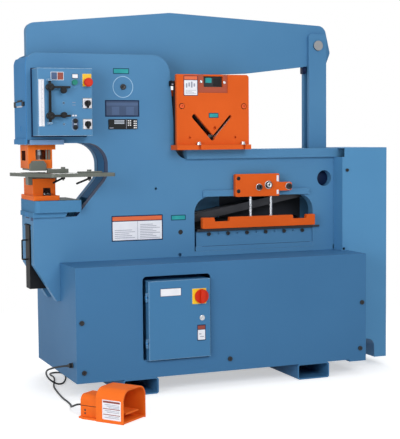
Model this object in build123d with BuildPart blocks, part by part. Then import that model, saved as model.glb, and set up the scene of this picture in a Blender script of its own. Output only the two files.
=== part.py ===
# Ironworker: a steel-working machine with a punch, an angle shear and a plate shear.
# Sizes are millimetres. Every place is written as (x, y, z), with x measured from the rocker
# beam's pivot, y from the middle plane between the two frame plates and z from the floor.
from build123d import *
import math
import os

os.makedirs("parts", exist_ok=True)

# Overall reach from the pivot and from the middle plane, which centres the machine on its origin
base_right = 1153.0
cabinet_left = base_right - 38.0
cabinet_width = 253.0
left_reach = 504.0
right_reach = cabinet_left + cabinet_width
front_reach = 864.0
back_reach = 322.0
pivot_x = (left_reach - right_reach) / 2
mid_y = (front_reach - back_reach) / 2

# Clearances
seat = 0.3
running = 0.05

# Frame: two profiled plates that carry the head, the throat and the lower arm
plate_t = 50.0
half_gap = 60.0
plate_face = half_gap + plate_t
head_left = 459.0
head_bottom = 1145.0
head_top = 1556.0
head_corner_r = 50.0
head_right_r = 85.0
shoulder_x = 228.0
shoulder_foot_x = 263.5
shoulder_foot_r = 60.0
deck_z = 1064.0
frame_right = base_right + 89.0
frame_right_low = base_right - 43.0
frame_right_low_z = 620.0
frame_bottom = 415.0
arm_left = 439.0
arm_slope_top = 585.0
arm_slope_foot_x = 334.0
arm_top = 806.0
throat_back = 79.0
throat_low_z = 986.0
throat_top_r = 100.0
throat_low_r = 80.0
throat_foot_x = 233.0
liner_t = 8.0

# Plate shear window in the front plate, and the lower one behind it
window_left = 354.0
window_right = 996.0
window_bottom = 616.0
window_top = 880.0
window_r = 80.0
exit_top = 765.0
pad_t = 12.0
pad_left = 397.0
pad_right = 972.0
pad_bottom = 880.5
pad_top = 910.0
access_r = 40.0

# Rocker beam
pivot_z = 1405.0
beam_t = 40.0
main_pin_r = 49.0
hub_r = 88.0
ram_x = -384.0
ram_pad_z = 1480.0
carrier_pad_z = 1473.0
link_x = 1061.0
link_upper_z = 1625.0
link_lower_z = 957.0
link_pin_r = 22.0
link_bar_t = 20.0
link_half_width = 49.0
link_gap = 1.0
link_lower_clear = 9.0

# Base cabinet
base_left = 318.0
base_front = 369.0
base_bottom = 76.0
base_top = 594.0
sheet_t = 5.0
fork_width = 170.0
fork_wall = 6.0
fork_left_x = -16.0
fork_right_x = base_right - 289.0
bearer_z = 395.0

# End cabinet
cabinet_half_depth = 202.0
cabinet_top = 1110.0
cabinet_bottom = 42.0
cabinet_leg_x = base_right + 146.0
cabinet_leg_z = 139.0
cabinet_leg_r = 40.0
cabinet_wall = 4.0

# Deck strip
deck_left = 311.0
deck_right = base_right + 10.0
deck_half_depth = 130.0
deck_top = 1108.0
deck_end_r = 12.0

# Punch station
ram_r = 25.0
ram_dome_r = 40.0
nut_r = 30.0
nut_bottom = 1068.0
nut_top = 1112.0
punch_r = 10.0
punch_tip_z = 1035.0
guide_bottom = 1139.0
guide_plate_t = 22.0
guide_left = 449.0
guide_right = 292.0
guide_half_depth = 125.0
guide_sleeve_z = 1182.0
guide_sleeve_top = 1290.0
nut_travel_clear = 5.0
housing_left = 449.0
housing_right = 335.0
housing_front = 72.0
housing_back = 77.0
housing_bottom = 1030.0
housing_flange_z = 1116.0
housing_flange_right = 319.0
stripper_t = 8.0
table_top = 1010.0
table_t = 16.0
die_r = 28.0
die_depth = 33.0
die_bore_r = 10.4
die_block_top = 983.0
bolster_bottom = 829.0
bolster_top = 884.0
slug_hole_r = 17.0

# Angle shear
shear_left = 245.0
shear_right = 618.0
cover_front = 170.0
cover_t = 20.0
cover_bottom = 1131.0
cover_top = 1465.0
vee_x = 427.0
vee_z = 1163.0
vee_angle = 48.0
vee_leg = 138.0
vee_left_width = 24.0
vee_right_width = 14.0
cheek_inner_left = 300.0
cheek_inner_right = 576.0
cheek_top = 1365.0
carrier_front = 56.7
carrier_back = 5.0
roller_r = 22.0

# Plate shear: arm, blades, holder and hold-down
arm_pivot_x = 282.0
arm_pivot_z = 713.0
arm_pin_r = 12.0
arm_half_t = 24.0
blade_length = 610.0
blade_pitch = 101.6
blade_bolts = 6
blade_bolt_x = 431.5
blade_bolt_z = 698.0
blade_bolt_r = 9.0
blade_slope = 0.19
blade_gap = 0.3
upper_blade_t = 25.0
lower_blade_top = 723.0
lower_blade_h = 12.7
holder_front = 100.0
hold_front = 147.0
hold_left = 382.0
hold_right = 989.0
hold_bottom = 727.0
hold_top = 780.0
jack_x = (640.0, 750.0)
jack_r = 8.5
jack_y = 134.6

# Control box
box_left = 434.0
box_right = 178.0
box_front = 210.0
box_bottom = 1179.0
box_top = 1482.0

# Electrical enclosure in the base's front
opening_left = -5.0
opening_right = 328.0
opening_bottom = 150.0
opening_top = 540.0
opening_r = 20.0
door_left = 16.0
door_right = 319.0
door_bottom = 158.0
door_top = 519.0
door_t = 24.0
enclosure_depth = 160.0
enclosure_wall = 3.0
hinge_x = 10.0
hinge_y = -380.0
hinge_pin_r = 4.0
hinge_half = 20.0
hinge_leaf_half = 6.0
hinge_heights = (235.0, 445.0)

# Slug bin between the plates
bin_left = 445.0
bin_right = 326.0
bin_front = 53.0
bin_back = 23.0
bin_bottom = 472.0
bin_top = 768.0
bin_wall = 3.0

# Foot switch on the floor in front, turned towards the operator
pedal_front_x = -200.0
pedal_front_y = -813.5
pedal_turn = math.degrees(math.atan2(0.608, 0.795))
pedal_length = 235.0
pedal_half_width = 83.0
hood_length = 112.0
hood_height = 140.0
hood_wall = 5.0
rear_half_width = 55.0
rear_height = 98.0

# Supply cord of the foot switch
cord_r = 4.25
gland_y = -305.0
gland_z = 150.0


def place(x, y, z):
    """A point of the machine as a point from the origin."""
    return (pivot_x + x, mid_y + y, z)


def upright(y_back):
    """Plane facing the front: drawn as (x, z), and an extrusion comes forward from y_back."""
    return Plane(origin=place(0, y_back, 0), x_dir=(1, 0, 0), z_dir=(0, -1, 0))


def level(z):
    """Plane facing up: drawn as (x, y)."""
    return Plane(origin=place(0, 0, z), x_dir=(1, 0, 0), z_dir=(0, 0, 1))


def block(x0, x1, y0, y1, z0, z1, mode=Mode.ADD):
    """Box between two corners."""
    with Locations(place((x0 + x1) / 2, (y0 + y1) / 2, (z0 + z1) / 2)):
        Box(x1 - x0, y1 - y0, z1 - z0, mode=mode)


def pin_z(x, y, z0, z1, radius, mode=Mode.ADD):
    """Upright cylinder."""
    with Locations(place(x, y, (z0 + z1) / 2)):
        Cylinder(radius, z1 - z0, mode=mode)


def pin_y(x, z, y0, y1, radius, mode=Mode.ADD):
    """Cylinder from front to back."""
    with Locations(Location(place(x, (y0 + y1) / 2, z), (90, 0, 0))):
        Cylinder(radius, y1 - y0, mode=mode)


def pin_x(y, z, x0, x1, radius, mode=Mode.ADD):
    """Cylinder from left to right."""
    with Locations(Location(place((x0 + x1) / 2, y, z), (0, 90, 0))):
        Cylinder(radius, x1 - x0, mode=mode)


def outline(plane, corners):
    """Closed outline on a plane, where each corner is (across, up, rounding radius)."""
    with BuildSketch(plane) as shape:
        with BuildLine():
            FilletPolyline(*[(a, b) for a, b, _ in corners], radius=[r for _, _, r in corners], close=True)
        make_face()
    return shape.sketch


def plate(y0, y1, corners, mode=Mode.ADD):
    """Upright plate between two depths."""
    extrude(to_extrude=outline(upright(y1), corners), amount=y1 - y0, mode=mode)


def sheet(z0, z1, corners, mode=Mode.ADD):
    """Level plate between two heights."""
    extrude(to_extrude=outline(level(z0), corners), amount=z1 - z0, mode=mode)


def cap_head(x, z, y_face, radius, height):
    """Socket cap screw head standing forward of a face, with its hexagon socket."""
    with BuildSketch(upright(y_face)) as head:
        with Locations((x, z)):
            Circle(radius)
            RegularPolygon(radius * 0.5, 6, mode=Mode.SUBTRACT)
    extrude(to_extrude=head.sketch, amount=height)
    pin_y(x, z, y_face - height * 0.4, y_face, radius * 0.8)


# Base cabinet: a welded sheet box with slots for the frame plates and an opening for the enclosure
slot_bottom = frame_bottom - seat
with BuildPart() as base_cabinet:
    block(-base_left, base_right, -base_front, back_reach, base_bottom, base_top)
    block(-base_left + sheet_t, base_right - sheet_t, -base_front + sheet_t, back_reach - sheet_t,
          base_bottom + sheet_t, base_top - sheet_t, mode=Mode.SUBTRACT)
    for side in (-1, 1):
        near, far = half_gap - seat, plate_face + seat
        y0, y1 = (-far, -near) if side < 0 else (near, far)
        block(-base_left - 1, frame_right_low + seat, y0, y1, slot_bottom, base_top + 1, mode=Mode.SUBTRACT)
    pin_z(link_x, 0, base_top - 2 * sheet_t, base_top + 1, 50.0, mode=Mode.SUBTRACT)
    plate(-base_front - 1, -base_front + sheet_t + 1, [
        (opening_left, opening_bottom, opening_r), (opening_right, opening_bottom, opening_r),
        (opening_right, opening_top, opening_r), (opening_left, opening_top, opening_r)], mode=Mode.SUBTRACT)
    for bearer_x in (-240.0, 900.0):
        block(bearer_x - 30, bearer_x + 30, -base_front + 1, back_reach - 1, bearer_z, slot_bottom)
    block(opening_left - 15, opening_right + 12, -base_front + sheet_t - 1, -base_front + 150,
          opening_bottom - 4, door_bottom - seat)
    block(base_right - 91, base_right, -base_front + 0.5, -base_front + 40, base_bottom - 10, base_bottom + 1)
base_cabinet.part.label = "base_cabinet"
export_step(base_cabinet.part, "parts/base_cabinet.step")

# Fork tubes under the base, open at both ends
with BuildPart() as fork_tubes:
    for tube_x in (fork_left_x, fork_right_x):
        with BuildSketch(upright(back_reach)) as section:
            with Locations((tube_x, (base_bottom - seat) / 2)):
                RectangleRounded(fork_width, base_bottom - seat, 12.0)
                RectangleRounded(fork_width - 2 * fork_wall, base_bottom - seat - 2 * fork_wall, 8.0,
                                 mode=Mode.SUBTRACT)
        extrude(to_extrude=section.sketch, amount=back_reach + base_front)
fork_tubes.part.label = "fork_tubes"
export_step(fork_tubes.part, "parts/fork_tubes.step")

# Frame plates: one outline, with the shear window in front and the stock exit behind
notch_left, notch_right = -guide_left - seat, -guide_right + seat
frame_outline = [
    (-head_left, head_bottom, 4), (-head_left, head_top, head_corner_r), (shoulder_x, head_top, head_right_r),
    (shoulder_foot_x, deck_z, shoulder_foot_r), (frame_right, deck_z, 0), (frame_right, frame_right_low_z, 0),
    (frame_right_low, frame_right_low_z, 0), (frame_right_low, frame_bottom, 0),
    (-arm_slope_foot_x, frame_bottom, 0), (-arm_left, arm_slope_top, 12), (-arm_left, arm_top, 3),
    (-throat_foot_x, arm_top, 3), (-throat_back, throat_low_z, throat_low_r),
    (-throat_back, head_bottom, throat_top_r)]


def frame_plate(y0, y1, opening_top_z, opening_corner_r):
    """One frame plate with the holes that both share."""
    plate(y0, y1, frame_outline)
    plate(y0 - 1, y1 + 1, [
        (window_left, window_bottom, 0), (window_right, window_bottom, 0),
        (window_right, opening_top_z, opening_corner_r), (window_left, opening_top_z, opening_corner_r)],
        mode=Mode.SUBTRACT)
    block(notch_left - 20, notch_right, y0 - 1, y1 + 1, head_bottom - 1, guide_bottom + guide_plate_t + seat,
          mode=Mode.SUBTRACT)
    pin_y(0, pivot_z, y0 - 1, y1 + 1, main_pin_r + running, mode=Mode.SUBTRACT)
    pin_y(arm_pivot_x, arm_pivot_z, y0 - 1, y1 + 1, arm_pin_r + running, mode=Mode.SUBTRACT)


with BuildPart() as frame_front_plate:
    frame_plate(-plate_face, -half_gap, window_top, window_r)
    plate(-plate_face - pad_t, -plate_face, [
        (pad_left, pad_bottom, 0), (pad_right, pad_bottom, 0), (pad_right, pad_top, 6), (pad_left, pad_top, 6)])
    pin_y(link_x, link_lower_z, -plate_face - 1, -half_gap + 1, access_r, mode=Mode.SUBTRACT)
    pin_y(158.0, 925.0, -plate_face - 1, -plate_face + 20, 6.5, mode=Mode.SUBTRACT)
    pin_y(278.0, 603.0, -plate_face - 1, -plate_face + 20, 9.0, mode=Mode.SUBTRACT)
    block(-arm_left, -330, -half_gap, -bin_front - 1.5, bin_top - 20, bin_top - 4 - seat)
frame_front_plate.part.label = "frame_front_plate"
export_step(frame_front_plate.part, "parts/frame_front_plate.step")

with BuildPart() as frame_rear_plate:
    frame_plate(half_gap, plate_face, exit_top, 20)
    block(-arm_left, -330, bin_back + seat, half_gap, arm_slope_top + 15, bin_top - 4 - seat)
    block(-arm_left, -arm_left + 8, -half_gap + seat, half_gap, bin_top + 4, arm_top)
frame_rear_plate.part.label = "frame_rear_plate"
export_step(frame_rear_plate.part, "parts/frame_rear_plate.step")

# Throat liner: a bent strip that closes the gap between the plates round the throat
slope = math.atan2(throat_low_z - arm_top, throat_foot_x - throat_back)
out_x, out_z = liner_t * math.sin(slope), -liner_t * math.cos(slope)
liner_top_x = -guide_right + 6
foot_z = bolster_top + 4
foot_x = -throat_foot_x + (foot_z - arm_top) / math.tan(slope)
outer_low_z = throat_low_z + out_z + (liner_t - out_x) * math.tan(slope)
with BuildPart() as throat_liner:
    plate(-half_gap + seat, half_gap - seat, [
        (liner_top_x, head_bottom, 0), (-throat_back, head_bottom, throat_top_r),
        (-throat_back, throat_low_z, throat_low_r), (foot_x, foot_z, 0), (foot_x + out_x, foot_z + out_z, 0),
        (-throat_back + liner_t, outer_low_z, throat_low_r + liner_t),
        (-throat_back + liner_t, head_bottom + liner_t, throat_top_r + liner_t),
        (liner_top_x, head_bottom + liner_t, 0)])
throat_liner.part.label = "throat_liner"
export_step(throat_liner.part, "parts/throat_liner.step")

# Head end cover: a curled plate with a lip, and the small punch catch on it
cover_t_head = 5.0
curl_angle = 35.0
curl_r = head_corner_r + seat
curl_x, curl_z = -head_left + head_corner_r, head_top - head_corner_r
with BuildPart() as head_end_cover:
    with BuildSketch(upright(plate_face + 5)) as curl:
        with BuildLine():
            inner = CenterArc((curl_x, curl_z), curl_r, 180, -curl_angle)
            outer_arc = CenterArc((curl_x, curl_z), curl_r + cover_t_head, 180, -curl_angle)
            Line(inner @ 1, outer_arc @ 1)
            Polyline(inner @ 0, (curl_x - curl_r, head_bottom), (curl_x - curl_r - cover_t_head, head_bottom),
                     outer_arc @ 0)
        make_face()
    extrude(to_extrude=curl.sketch, amount=2 * plate_face + 5)
    block(-head_left - seat - 10, -head_left - seat - cover_t_head + 1, -plate_face, plate_face + 5,
          head_bottom - 4, head_bottom + 20)
    block(-head_left - seat - 12, -head_left - seat - cover_t_head + 1, -90, 98, 1318.0, 1334.0)
    block(-head_left - seat - 8, -head_left - seat - cover_t_head + 1, -15, 5, 1200.0, 1226.0)
head_end_cover.part.label = "head_end_cover"
export_step(head_end_cover.part, "parts/head_end_cover.step")

# Deck strip on the plates' top edges, with the slot for the link bars
with BuildPart() as deck_plate:
    plate(-deck_half_depth, deck_half_depth, [
        (deck_left, deck_z + seat, 4), (deck_left, deck_top, 3), (deck_right, deck_top, 3),
        (deck_right, deck_z + seat, deck_end_r)])
    block(link_x - link_half_width - 16, link_x + link_half_width + 14, -half_gap + 4, half_gap - 4,
          deck_z - 1, deck_top + 1, mode=Mode.SUBTRACT)
deck_plate.part.label = "deck_plate"
export_step(deck_plate.part, "parts/deck_plate.step")

# End cabinet: a folded sheet housing that stands beside the base and wraps the frame's end
cab = [
    (cabinet_left, base_top + seat, 0), (cabinet_left, cabinet_top, 2), (right_reach, cabinet_top, 2),
    (right_reach, cabinet_bottom, 2), (cabinet_leg_x, cabinet_bottom, 2),
    (cabinet_leg_x, cabinet_leg_z, cabinet_leg_r), (base_right + seat, cabinet_leg_z, 0),
    (base_right + seat, base_top + seat, 0)]
wall = cabinet_wall
cab_inner = [
    (cabinet_left + wall, base_top + seat + wall, 0), (cabinet_left + wall, cabinet_top - wall, 0),
    (right_reach - wall, cabinet_top - wall, 0), (right_reach - wall, cabinet_bottom + wall, 0),
    (cabinet_leg_x + wall, cabinet_bottom + wall, 0), (cabinet_leg_x + wall, cabinet_leg_z + wall, 0),
    (base_right + seat + wall, cabinet_leg_z + wall, 0), (base_right + seat + wall, base_top + seat + wall, 0)]
with BuildPart() as end_cabinet:
    plate(-cabinet_half_depth, cabinet_half_depth, cab)
    plate(-cabinet_half_depth + wall, cabinet_half_depth - wall, cab_inner, mode=Mode.SUBTRACT)
    block(cabinet_left - 1, cabinet_left + wall + 1, -plate_face - seat, plate_face + seat,
          base_top + seat + wall, cabinet_top - wall, mode=Mode.SUBTRACT)
    block(cabinet_left - 1, deck_right + seat, -deck_half_depth - seat, deck_half_depth + seat,
          deck_z, cabinet_top + 1, mode=Mode.SUBTRACT)
    block(cabinet_left - 1, cabinet_left + 12, -cabinet_half_depth - 1, -deck_half_depth,
          deck_z, cabinet_top + 1, mode=Mode.SUBTRACT)
    block(cabinet_left - 1, cabinet_left + 15, -cabinet_half_depth - 1, -cabinet_half_depth + wall + 1,
          base_top, base_top + 16, mode=Mode.SUBTRACT)
    for side in (-1, 1):
        y_in = side * (plate_face + seat)
        y_wall = side * (cabinet_half_depth - wall / 2)
        block(cabinet_left + 30, cabinet_left + 60, min(y_in, y_wall), max(y_in, y_wall), 700.0, 730.0)
end_cabinet.part.label = "end_cabinet"
export_step(end_cabinet.part, "parts/end_cabinet.step")

# Bolster on the lower arm: a thick block on a spacer plate, with the slug hole
with BuildPart() as bolster_block:
    sheet(bolster_bottom, bolster_top, [
        (-437, -145, 22), (-218, -145, 6), (-218, 138, 3), (-437, 138, 6)])
    plate(-124, 124, [(-443, arm_top + seat, 2), (-290, arm_top + seat, 2), (-278, bolster_bottom, 0),
                      (-443, bolster_bottom, 0)])
    pin_z(ram_x, 0, arm_top - 1, bolster_top + 1, slug_hole_r, mode=Mode.SUBTRACT)
bolster_block.part.label = "bolster_block"
export_step(bolster_block.part, "parts/bolster_block.step")

# Die holder: flanged block with the die seat and the arched relief in its front face
flange_top = bolster_top + 22
with BuildPart() as die_holder:
    sheet(bolster_top + seat, flange_top, [
        (-438, -125, 4), (-316, -125, 4), (-316, 125, 4), (-438, 125, 4)])
    block(-430, -324, -79, 97, flange_top - 1, die_block_top)
    plate(-80, -60, [(-382, flange_top, 0), (-348, flange_top, 0), (-348, flange_top + 34, 16.9),
                     (-382, flange_top + 34, 16.9)], mode=Mode.SUBTRACT)
    pin_z(ram_x, 0, die_block_top - die_depth, die_block_top + 1, die_r + running, mode=Mode.SUBTRACT)
    pin_z(ram_x, 0, bolster_top - 1, die_block_top, slug_hole_r, mode=Mode.SUBTRACT)
die_holder.part.label = "die_holder"
export_step(die_holder.part, "parts/die_holder.step")

# Die: round, flush with the table, with a relieved bore
with BuildPart() as die:
    pin_z(ram_x, 0, die_block_top - die_depth, table_top, die_r)
    pin_z(ram_x, 0, die_block_top - die_depth - 1, table_top + 1, die_bore_r, mode=Mode.SUBTRACT)
    pin_z(ram_x, 0, die_block_top - die_depth - 1, table_top - 14, die_bore_r + 3, mode=Mode.SUBTRACT)
die.part.label = "die"
export_step(die.part, "parts/die.step")

# Ram guide: the light strip under the head, with a sleeve for the ram between the plates
with BuildPart() as ram_guide:
    block(-guide_left, -guide_right, -guide_half_depth, guide_half_depth, guide_bottom,
          guide_bottom + guide_plate_t)
    block(ram_x - 48, ram_x + 48, -half_gap + seat, half_gap - seat, guide_bottom + guide_plate_t - 1,
          guide_sleeve_top)
    pin_z(ram_x, 0, guide_bottom - 1, guide_sleeve_z, nut_r + nut_travel_clear, mode=Mode.SUBTRACT)
    pin_z(ram_x, 0, guide_sleeve_z - 1, guide_sleeve_top + 1, ram_r + running, mode=Mode.SUBTRACT)
ram_guide.part.label = "ram_guide"
export_step(ram_guide.part, "parts/ram_guide.step")

# Stripper housing under the ram guide, open in front and at the left
rod_x = (-358.0, -345.0)
rod_y = -56.0
with BuildPart() as stripper_housing:
    block(-housing_left, -housing_right, -housing_front, housing_back, housing_bottom, housing_flange_z + 1)
    block(-housing_left, -housing_flange_right, -housing_front, housing_back, housing_flange_z,
          guide_bottom - seat)
    block(-428, -344, -38, 58, housing_bottom - 1, housing_flange_z, mode=Mode.SUBTRACT)
    block(-413, -341, -housing_front - 1, -37, 1070.0, housing_flange_z, mode=Mode.SUBTRACT)
    block(-housing_left - 1, -427, -24, 56, 1066.0, 1112.0, mode=Mode.SUBTRACT)
    pin_z(ram_x, 0, housing_bottom, guide_bottom, nut_r + nut_travel_clear, mode=Mode.SUBTRACT)
    for x in rod_x:
        pin_z(x, rod_y, housing_bottom - 1, housing_flange_z, 5.3, mode=Mode.SUBTRACT)
stripper_housing.part.label = "stripper_housing"
export_step(stripper_housing.part, "parts/stripper_housing.step")

# Stripper plate with its front block and the two guide rods that stand in the housing
with BuildPart() as stripper_plate:
    sheet(housing_bottom - seat - stripper_t, housing_bottom - seat, [
        (-441, -80, 3), (-340, -80, 3), (-340, housing_back, 3), (-441, housing_back, 3)])
    plate(-84, -housing_front - seat, [
        (-444, housing_bottom - seat - stripper_t - 2, 0), (-366, housing_bottom - seat - stripper_t - 2, 0),
        (-366, 1050, 3), (-378, 1066, 4), (-430, 1066, 4), (-444, 1050, 4)])
    pin_z(ram_x, 0, housing_bottom - 20, housing_bottom + 1, punch_r + 2, mode=Mode.SUBTRACT)
    for x in rod_x:
        pin_z(x, rod_y, housing_bottom - seat - 1, housing_flange_z - seat, 5.0)
stripper_plate.part.label = "stripper_plate"
export_step(stripper_plate.part, "parts/stripper_plate.step")

# Punch train: domed ram, coupling nut and punch
ram_top = ram_pad_z - seat
with BuildPart() as punch_ram:
    pin_z(ram_x, 0, nut_top - 20, ram_top - ram_dome_r, ram_r)
    with BuildSketch(upright(0)) as dome:
        with BuildLine():
            dome_arc = CenterArc((ram_x, ram_top - ram_dome_r), ram_dome_r, 90, -math.degrees(
                math.asin(ram_r / ram_dome_r)))
            Polyline(dome_arc @ 1, (ram_x + ram_r, ram_top - ram_dome_r - 1),
                     (ram_x, ram_top - ram_dome_r - 1), dome_arc @ 0)
        make_face()
    revolve(profiles=dome.sketch, axis=Axis(place(ram_x, 0, 0), (0, 0, 1)), revolution_arc=360)
punch_ram.part.label = "punch_ram"
export_step(punch_ram.part, "parts/punch_ram.step")

with BuildPart() as punch_nut:
    pin_z(ram_x, 0, nut_bottom, nut_top, nut_r)
    pin_z(ram_x, 0, nut_top - 20 - seat, nut_top + 1, ram_r + running, mode=Mode.SUBTRACT)
    pin_z(ram_x, 0, nut_bottom - 1, nut_top, punch_r + running, mode=Mode.SUBTRACT)
    with BuildSketch(level(nut_bottom + 6)) as flats:
        with Locations((ram_x, 0)):
            Circle(nut_r + 2)
            RegularPolygon(nut_r, 8, mode=Mode.SUBTRACT)
    extrude(to_extrude=flats.sketch, amount=16, mode=Mode.SUBTRACT)
punch_nut.part.label = "punch_nut"
export_step(punch_nut.part, "parts/punch_nut.step")

with BuildPart() as punch:
    pin_z(ram_x, 0, punch_tip_z, nut_top - 20 - 2 * seat, punch_r)
punch.part.label = "punch"
export_step(punch.part, "parts/punch.step")

# Gauging table: a level plate round the die, with pads and brackets on the die holder
fence_slots = ((-293.0, -104.0), (-208.0, -239.0))
with BuildPart() as gauging_table:
    sheet(table_top - table_t, table_top, [
        (-left_reach, 50, 8), (-left_reach, 68, 8), (-470, 104, 20), (-292, 104, 20), (-124, -150, 60), (-93, -222, 10),
        (-93, -269, 10), (-393, -289, 20), (-462, -110, 60)])
    block(-430, -324, -70, 70, die_block_top + seat, table_top - table_t + 1)
    block(-450, -430 - seat, -72, -24, 955.0, table_top - table_t + 1)
    block(-324 + seat, -312, -60, -20, 965.0, table_top - table_t + 1)
    pin_z(ram_x, 0, die_block_top - 1, table_top + 1, die_r + 1, mode=Mode.SUBTRACT)
    for x, y in fence_slots:
        block(x - 34, x + 10, y - 4.6, y + 4.6, table_top - table_t - 1, table_top + 1, mode=Mode.SUBTRACT)
gauging_table.part.label = "gauging_table"
export_step(gauging_table.part, "parts/gauging_table.step")


def fence(x, y, bar_left, bar_right, height):
    """Fence bar on the table, with its stud and the knob on top."""
    block(bar_left, bar_right, y - 10, y + 10, table_top + seat, table_top + height)
    pin_z(x, y, table_top - 36, table_top + height + 1, 4.0)
    pin_z(x, y, table_top + height, table_top + height + 8, 10.0)


def fence_lever(x, y, reach_x, reach_y):
    """Clamp lever under the table: a hub round the stud and a drooping arm."""
    top = table_top - table_t - seat
    pin_z(x, y, top - 14, top, 9.0)
    start = Vector(*place(x, y, top - 8))
    end = Vector(*place(x + reach_x, y + reach_y, top - 30))
    with Locations(Plane(origin=start, z_dir=end - start)):
        Cylinder(4.5, (end - start).length, align=(Align.CENTER, Align.CENTER, Align.MIN))
    pin_z(x, y, top - 15, top + 1, 4.0 + running, mode=Mode.SUBTRACT)


with BuildPart() as table_fence_rear:
    fence(-293.0, -104.0, -367, -270, 18)
table_fence_rear.part.label = "table_fence_rear"
export_step(table_fence_rear.part, "parts/table_fence_rear.step")

with BuildPart() as table_fence_front:
    fence(-208.0, -239.0, -262, -150, 8)
table_fence_front.part.label = "table_fence_front"
export_step(table_fence_front.part, "parts/table_fence_front.step")

with BuildPart() as fence_lever_rear:
    fence_lever(-293.0, -104.0, -52, -14)
fence_lever_rear.part.label = "fence_lever_rear"
export_step(fence_lever_rear.part, "parts/fence_lever_rear.step")

with BuildPart() as fence_lever_front:
    fence_lever(-208.0, -239.0, -66, -20)
fence_lever_front.part.label = "fence_lever_front"
export_step(fence_lever_front.part, "parts/fence_lever_front.step")


# Angle shear: cover, body with the vee opening, fixed vee blades and the driven blade carrier
tan_vee = math.tan(math.radians(vee_angle))
cos_vee = math.cos(math.radians(vee_angle))


def vee_height(x, lift):
    """Height of the vee line at x, lifted square to the legs."""
    return vee_z + abs(x - vee_x) * tan_vee + lift / cos_vee


def vee_cut(y0, y1, extra):
    """Vee opening with its wide left leg and narrow right leg."""
    for side, width in ((-1, vee_left_width), (1, vee_right_width)):
        reach_x = vee_leg / 2 * cos_vee
        reach_z = vee_leg / 2 * math.sin(math.radians(vee_angle))
        with BuildSketch(upright(y1)) as leg:
            with Locations((vee_x + side * reach_x, vee_z + reach_z)):
                SlotCenterToCenter(vee_leg, width + 2 * extra, rotation=side * vee_angle)
        extrude(to_extrude=leg.sketch, amount=y1 - y0, mode=Mode.SUBTRACT)


with BuildPart() as angle_shear_cover:
    plate(-cover_front, -cover_front + cover_t, [
        (shear_left, cover_bottom + seat, 0), (shear_right, cover_bottom + seat, 0),
        (shear_right, cover_top, 14), (shear_left, cover_top, 4)])
    block(354, 509, -cover_front - 1, -cover_front + 6, 1378.0, cover_top + 1, mode=Mode.SUBTRACT)
    block(385, 485, -cover_front - 1, -cover_front + cover_t + 1, 1406.0, 1457.0, mode=Mode.SUBTRACT)
    vee_cut(-cover_front - 1, -cover_front + cover_t + 1, 0)
    pin_y(439.0, 1211.0, -cover_front - 1, -cover_front + 12, 8.0, mode=Mode.SUBTRACT)
    for x in (310.0, 546.0):
        pin_y(x, 1166.0, -cover_front - 1, -cover_front + 10, 6.0, mode=Mode.SUBTRACT)
    for x in (272.0, 592.0):
        pin_y(x, 1315.0, -cover_front - 1, -cover_front + 8, 14.5, mode=Mode.SUBTRACT)
angle_shear_cover.part.label = "angle_shear_cover"
export_step(angle_shear_cover.part, "parts/angle_shear_cover.step")

body_front = cover_front - cover_t - seat
slab_back = 112.0
flange_front = cover_front + 28
clamp_y = -cover_front - 14.5
with BuildPart() as angle_shear_body:
    block(236, 617, -flange_front, -slab_back, deck_top + seat, cover_bottom)
    block(268, 612, -slab_back - 1, 90, deck_top + seat, cover_bottom)
    block(250, 612, -body_front, -slab_back, cover_bottom - 1, 1437.0)
    block(268, cheek_inner_left, -slab_back - 1, 90, cover_bottom - 1, cheek_top)
    block(cheek_inner_right, 612, -slab_back - 1, 90, cover_bottom - 1, cheek_top)
    block(268, 612, 50, 90, cover_bottom - 1, 1400.0)
    block(385, 485, -body_front - 1, -slab_back + 1, 1406.0, 1438.0, mode=Mode.SUBTRACT)
    vee_cut(-body_front - 1, -slab_back + 1, 2)
    vee_cut(49, 91, 6)
    block(vee_x - 14, vee_x + 14, -carrier_front - 1, -carrier_back + 1, cover_bottom - 12, cover_bottom + 1,
          mode=Mode.SUBTRACT)
    for x in (350.0, 580.0):
        block(x - 7, x + 7, -flange_front - 1, clamp_y, deck_top, cover_bottom + 1, mode=Mode.SUBTRACT)
angle_shear_body.part.label = "angle_shear_body"
export_step(angle_shear_body.part, "parts/angle_shear_body.step")

with BuildPart() as angle_lower_blades:
    blade_front, blade_back = -slab_back + seat, -carrier_front - blade_gap
    left_x, right_x = cheek_inner_left + seat, cheek_inner_right - seat
    floor_z = cover_bottom + seat
    plate(blade_front, blade_back, [
        (left_x, floor_z, 0), (vee_x - seat / 2, floor_z, 0), (vee_x - seat / 2, vee_height(vee_x, -13), 0),
        (left_x, vee_height(left_x, -13), 0)])
    plate(blade_front, blade_back, [
        (vee_x + seat / 2, floor_z, 0), (right_x, floor_z, 0), (right_x, vee_height(right_x, -8), 0),
        (vee_x + seat / 2, vee_height(vee_x, -8), 0)])
angle_lower_blades.part.label = "angle_lower_blades"
export_step(angle_lower_blades.part, "parts/angle_lower_blades.step")

roller_z = carrier_pad_z - seat - roller_r
with BuildPart() as angle_blade_carrier:
    plate(-carrier_front, -carrier_back, [
        (left_x, 1385, 4), (left_x, vee_height(left_x, 15), 0), (vee_x, vee_height(vee_x, 15), 0),
        (right_x, vee_height(right_x, 15), 0), (right_x, 1385, 4)])
    block(vee_x - 18, vee_x + 18, -carrier_front + 8, 15, 1384.0, roller_z)
    pin_y(vee_x, roller_z, -carrier_front + 8, 15, roller_r)
angle_blade_carrier.part.label = "angle_blade_carrier"
export_step(angle_blade_carrier.part, "parts/angle_blade_carrier.step")

# Main pivot pin and the shear arm's pin
with BuildPart() as main_pivot_pin:
    pin_y(0, pivot_z, -plate_face + 0.5, plate_face - 0.5, main_pin_r)
    with BuildSketch(upright(-plate_face + 14)) as socket:
        with Locations((0, pivot_z)):
            RegularPolygon(13.0, 6)
    extrude(to_extrude=socket.sketch, amount=20, mode=Mode.SUBTRACT)
main_pivot_pin.part.label = "main_pivot_pin"
export_step(main_pivot_pin.part, "parts/main_pivot_pin.step")

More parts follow.
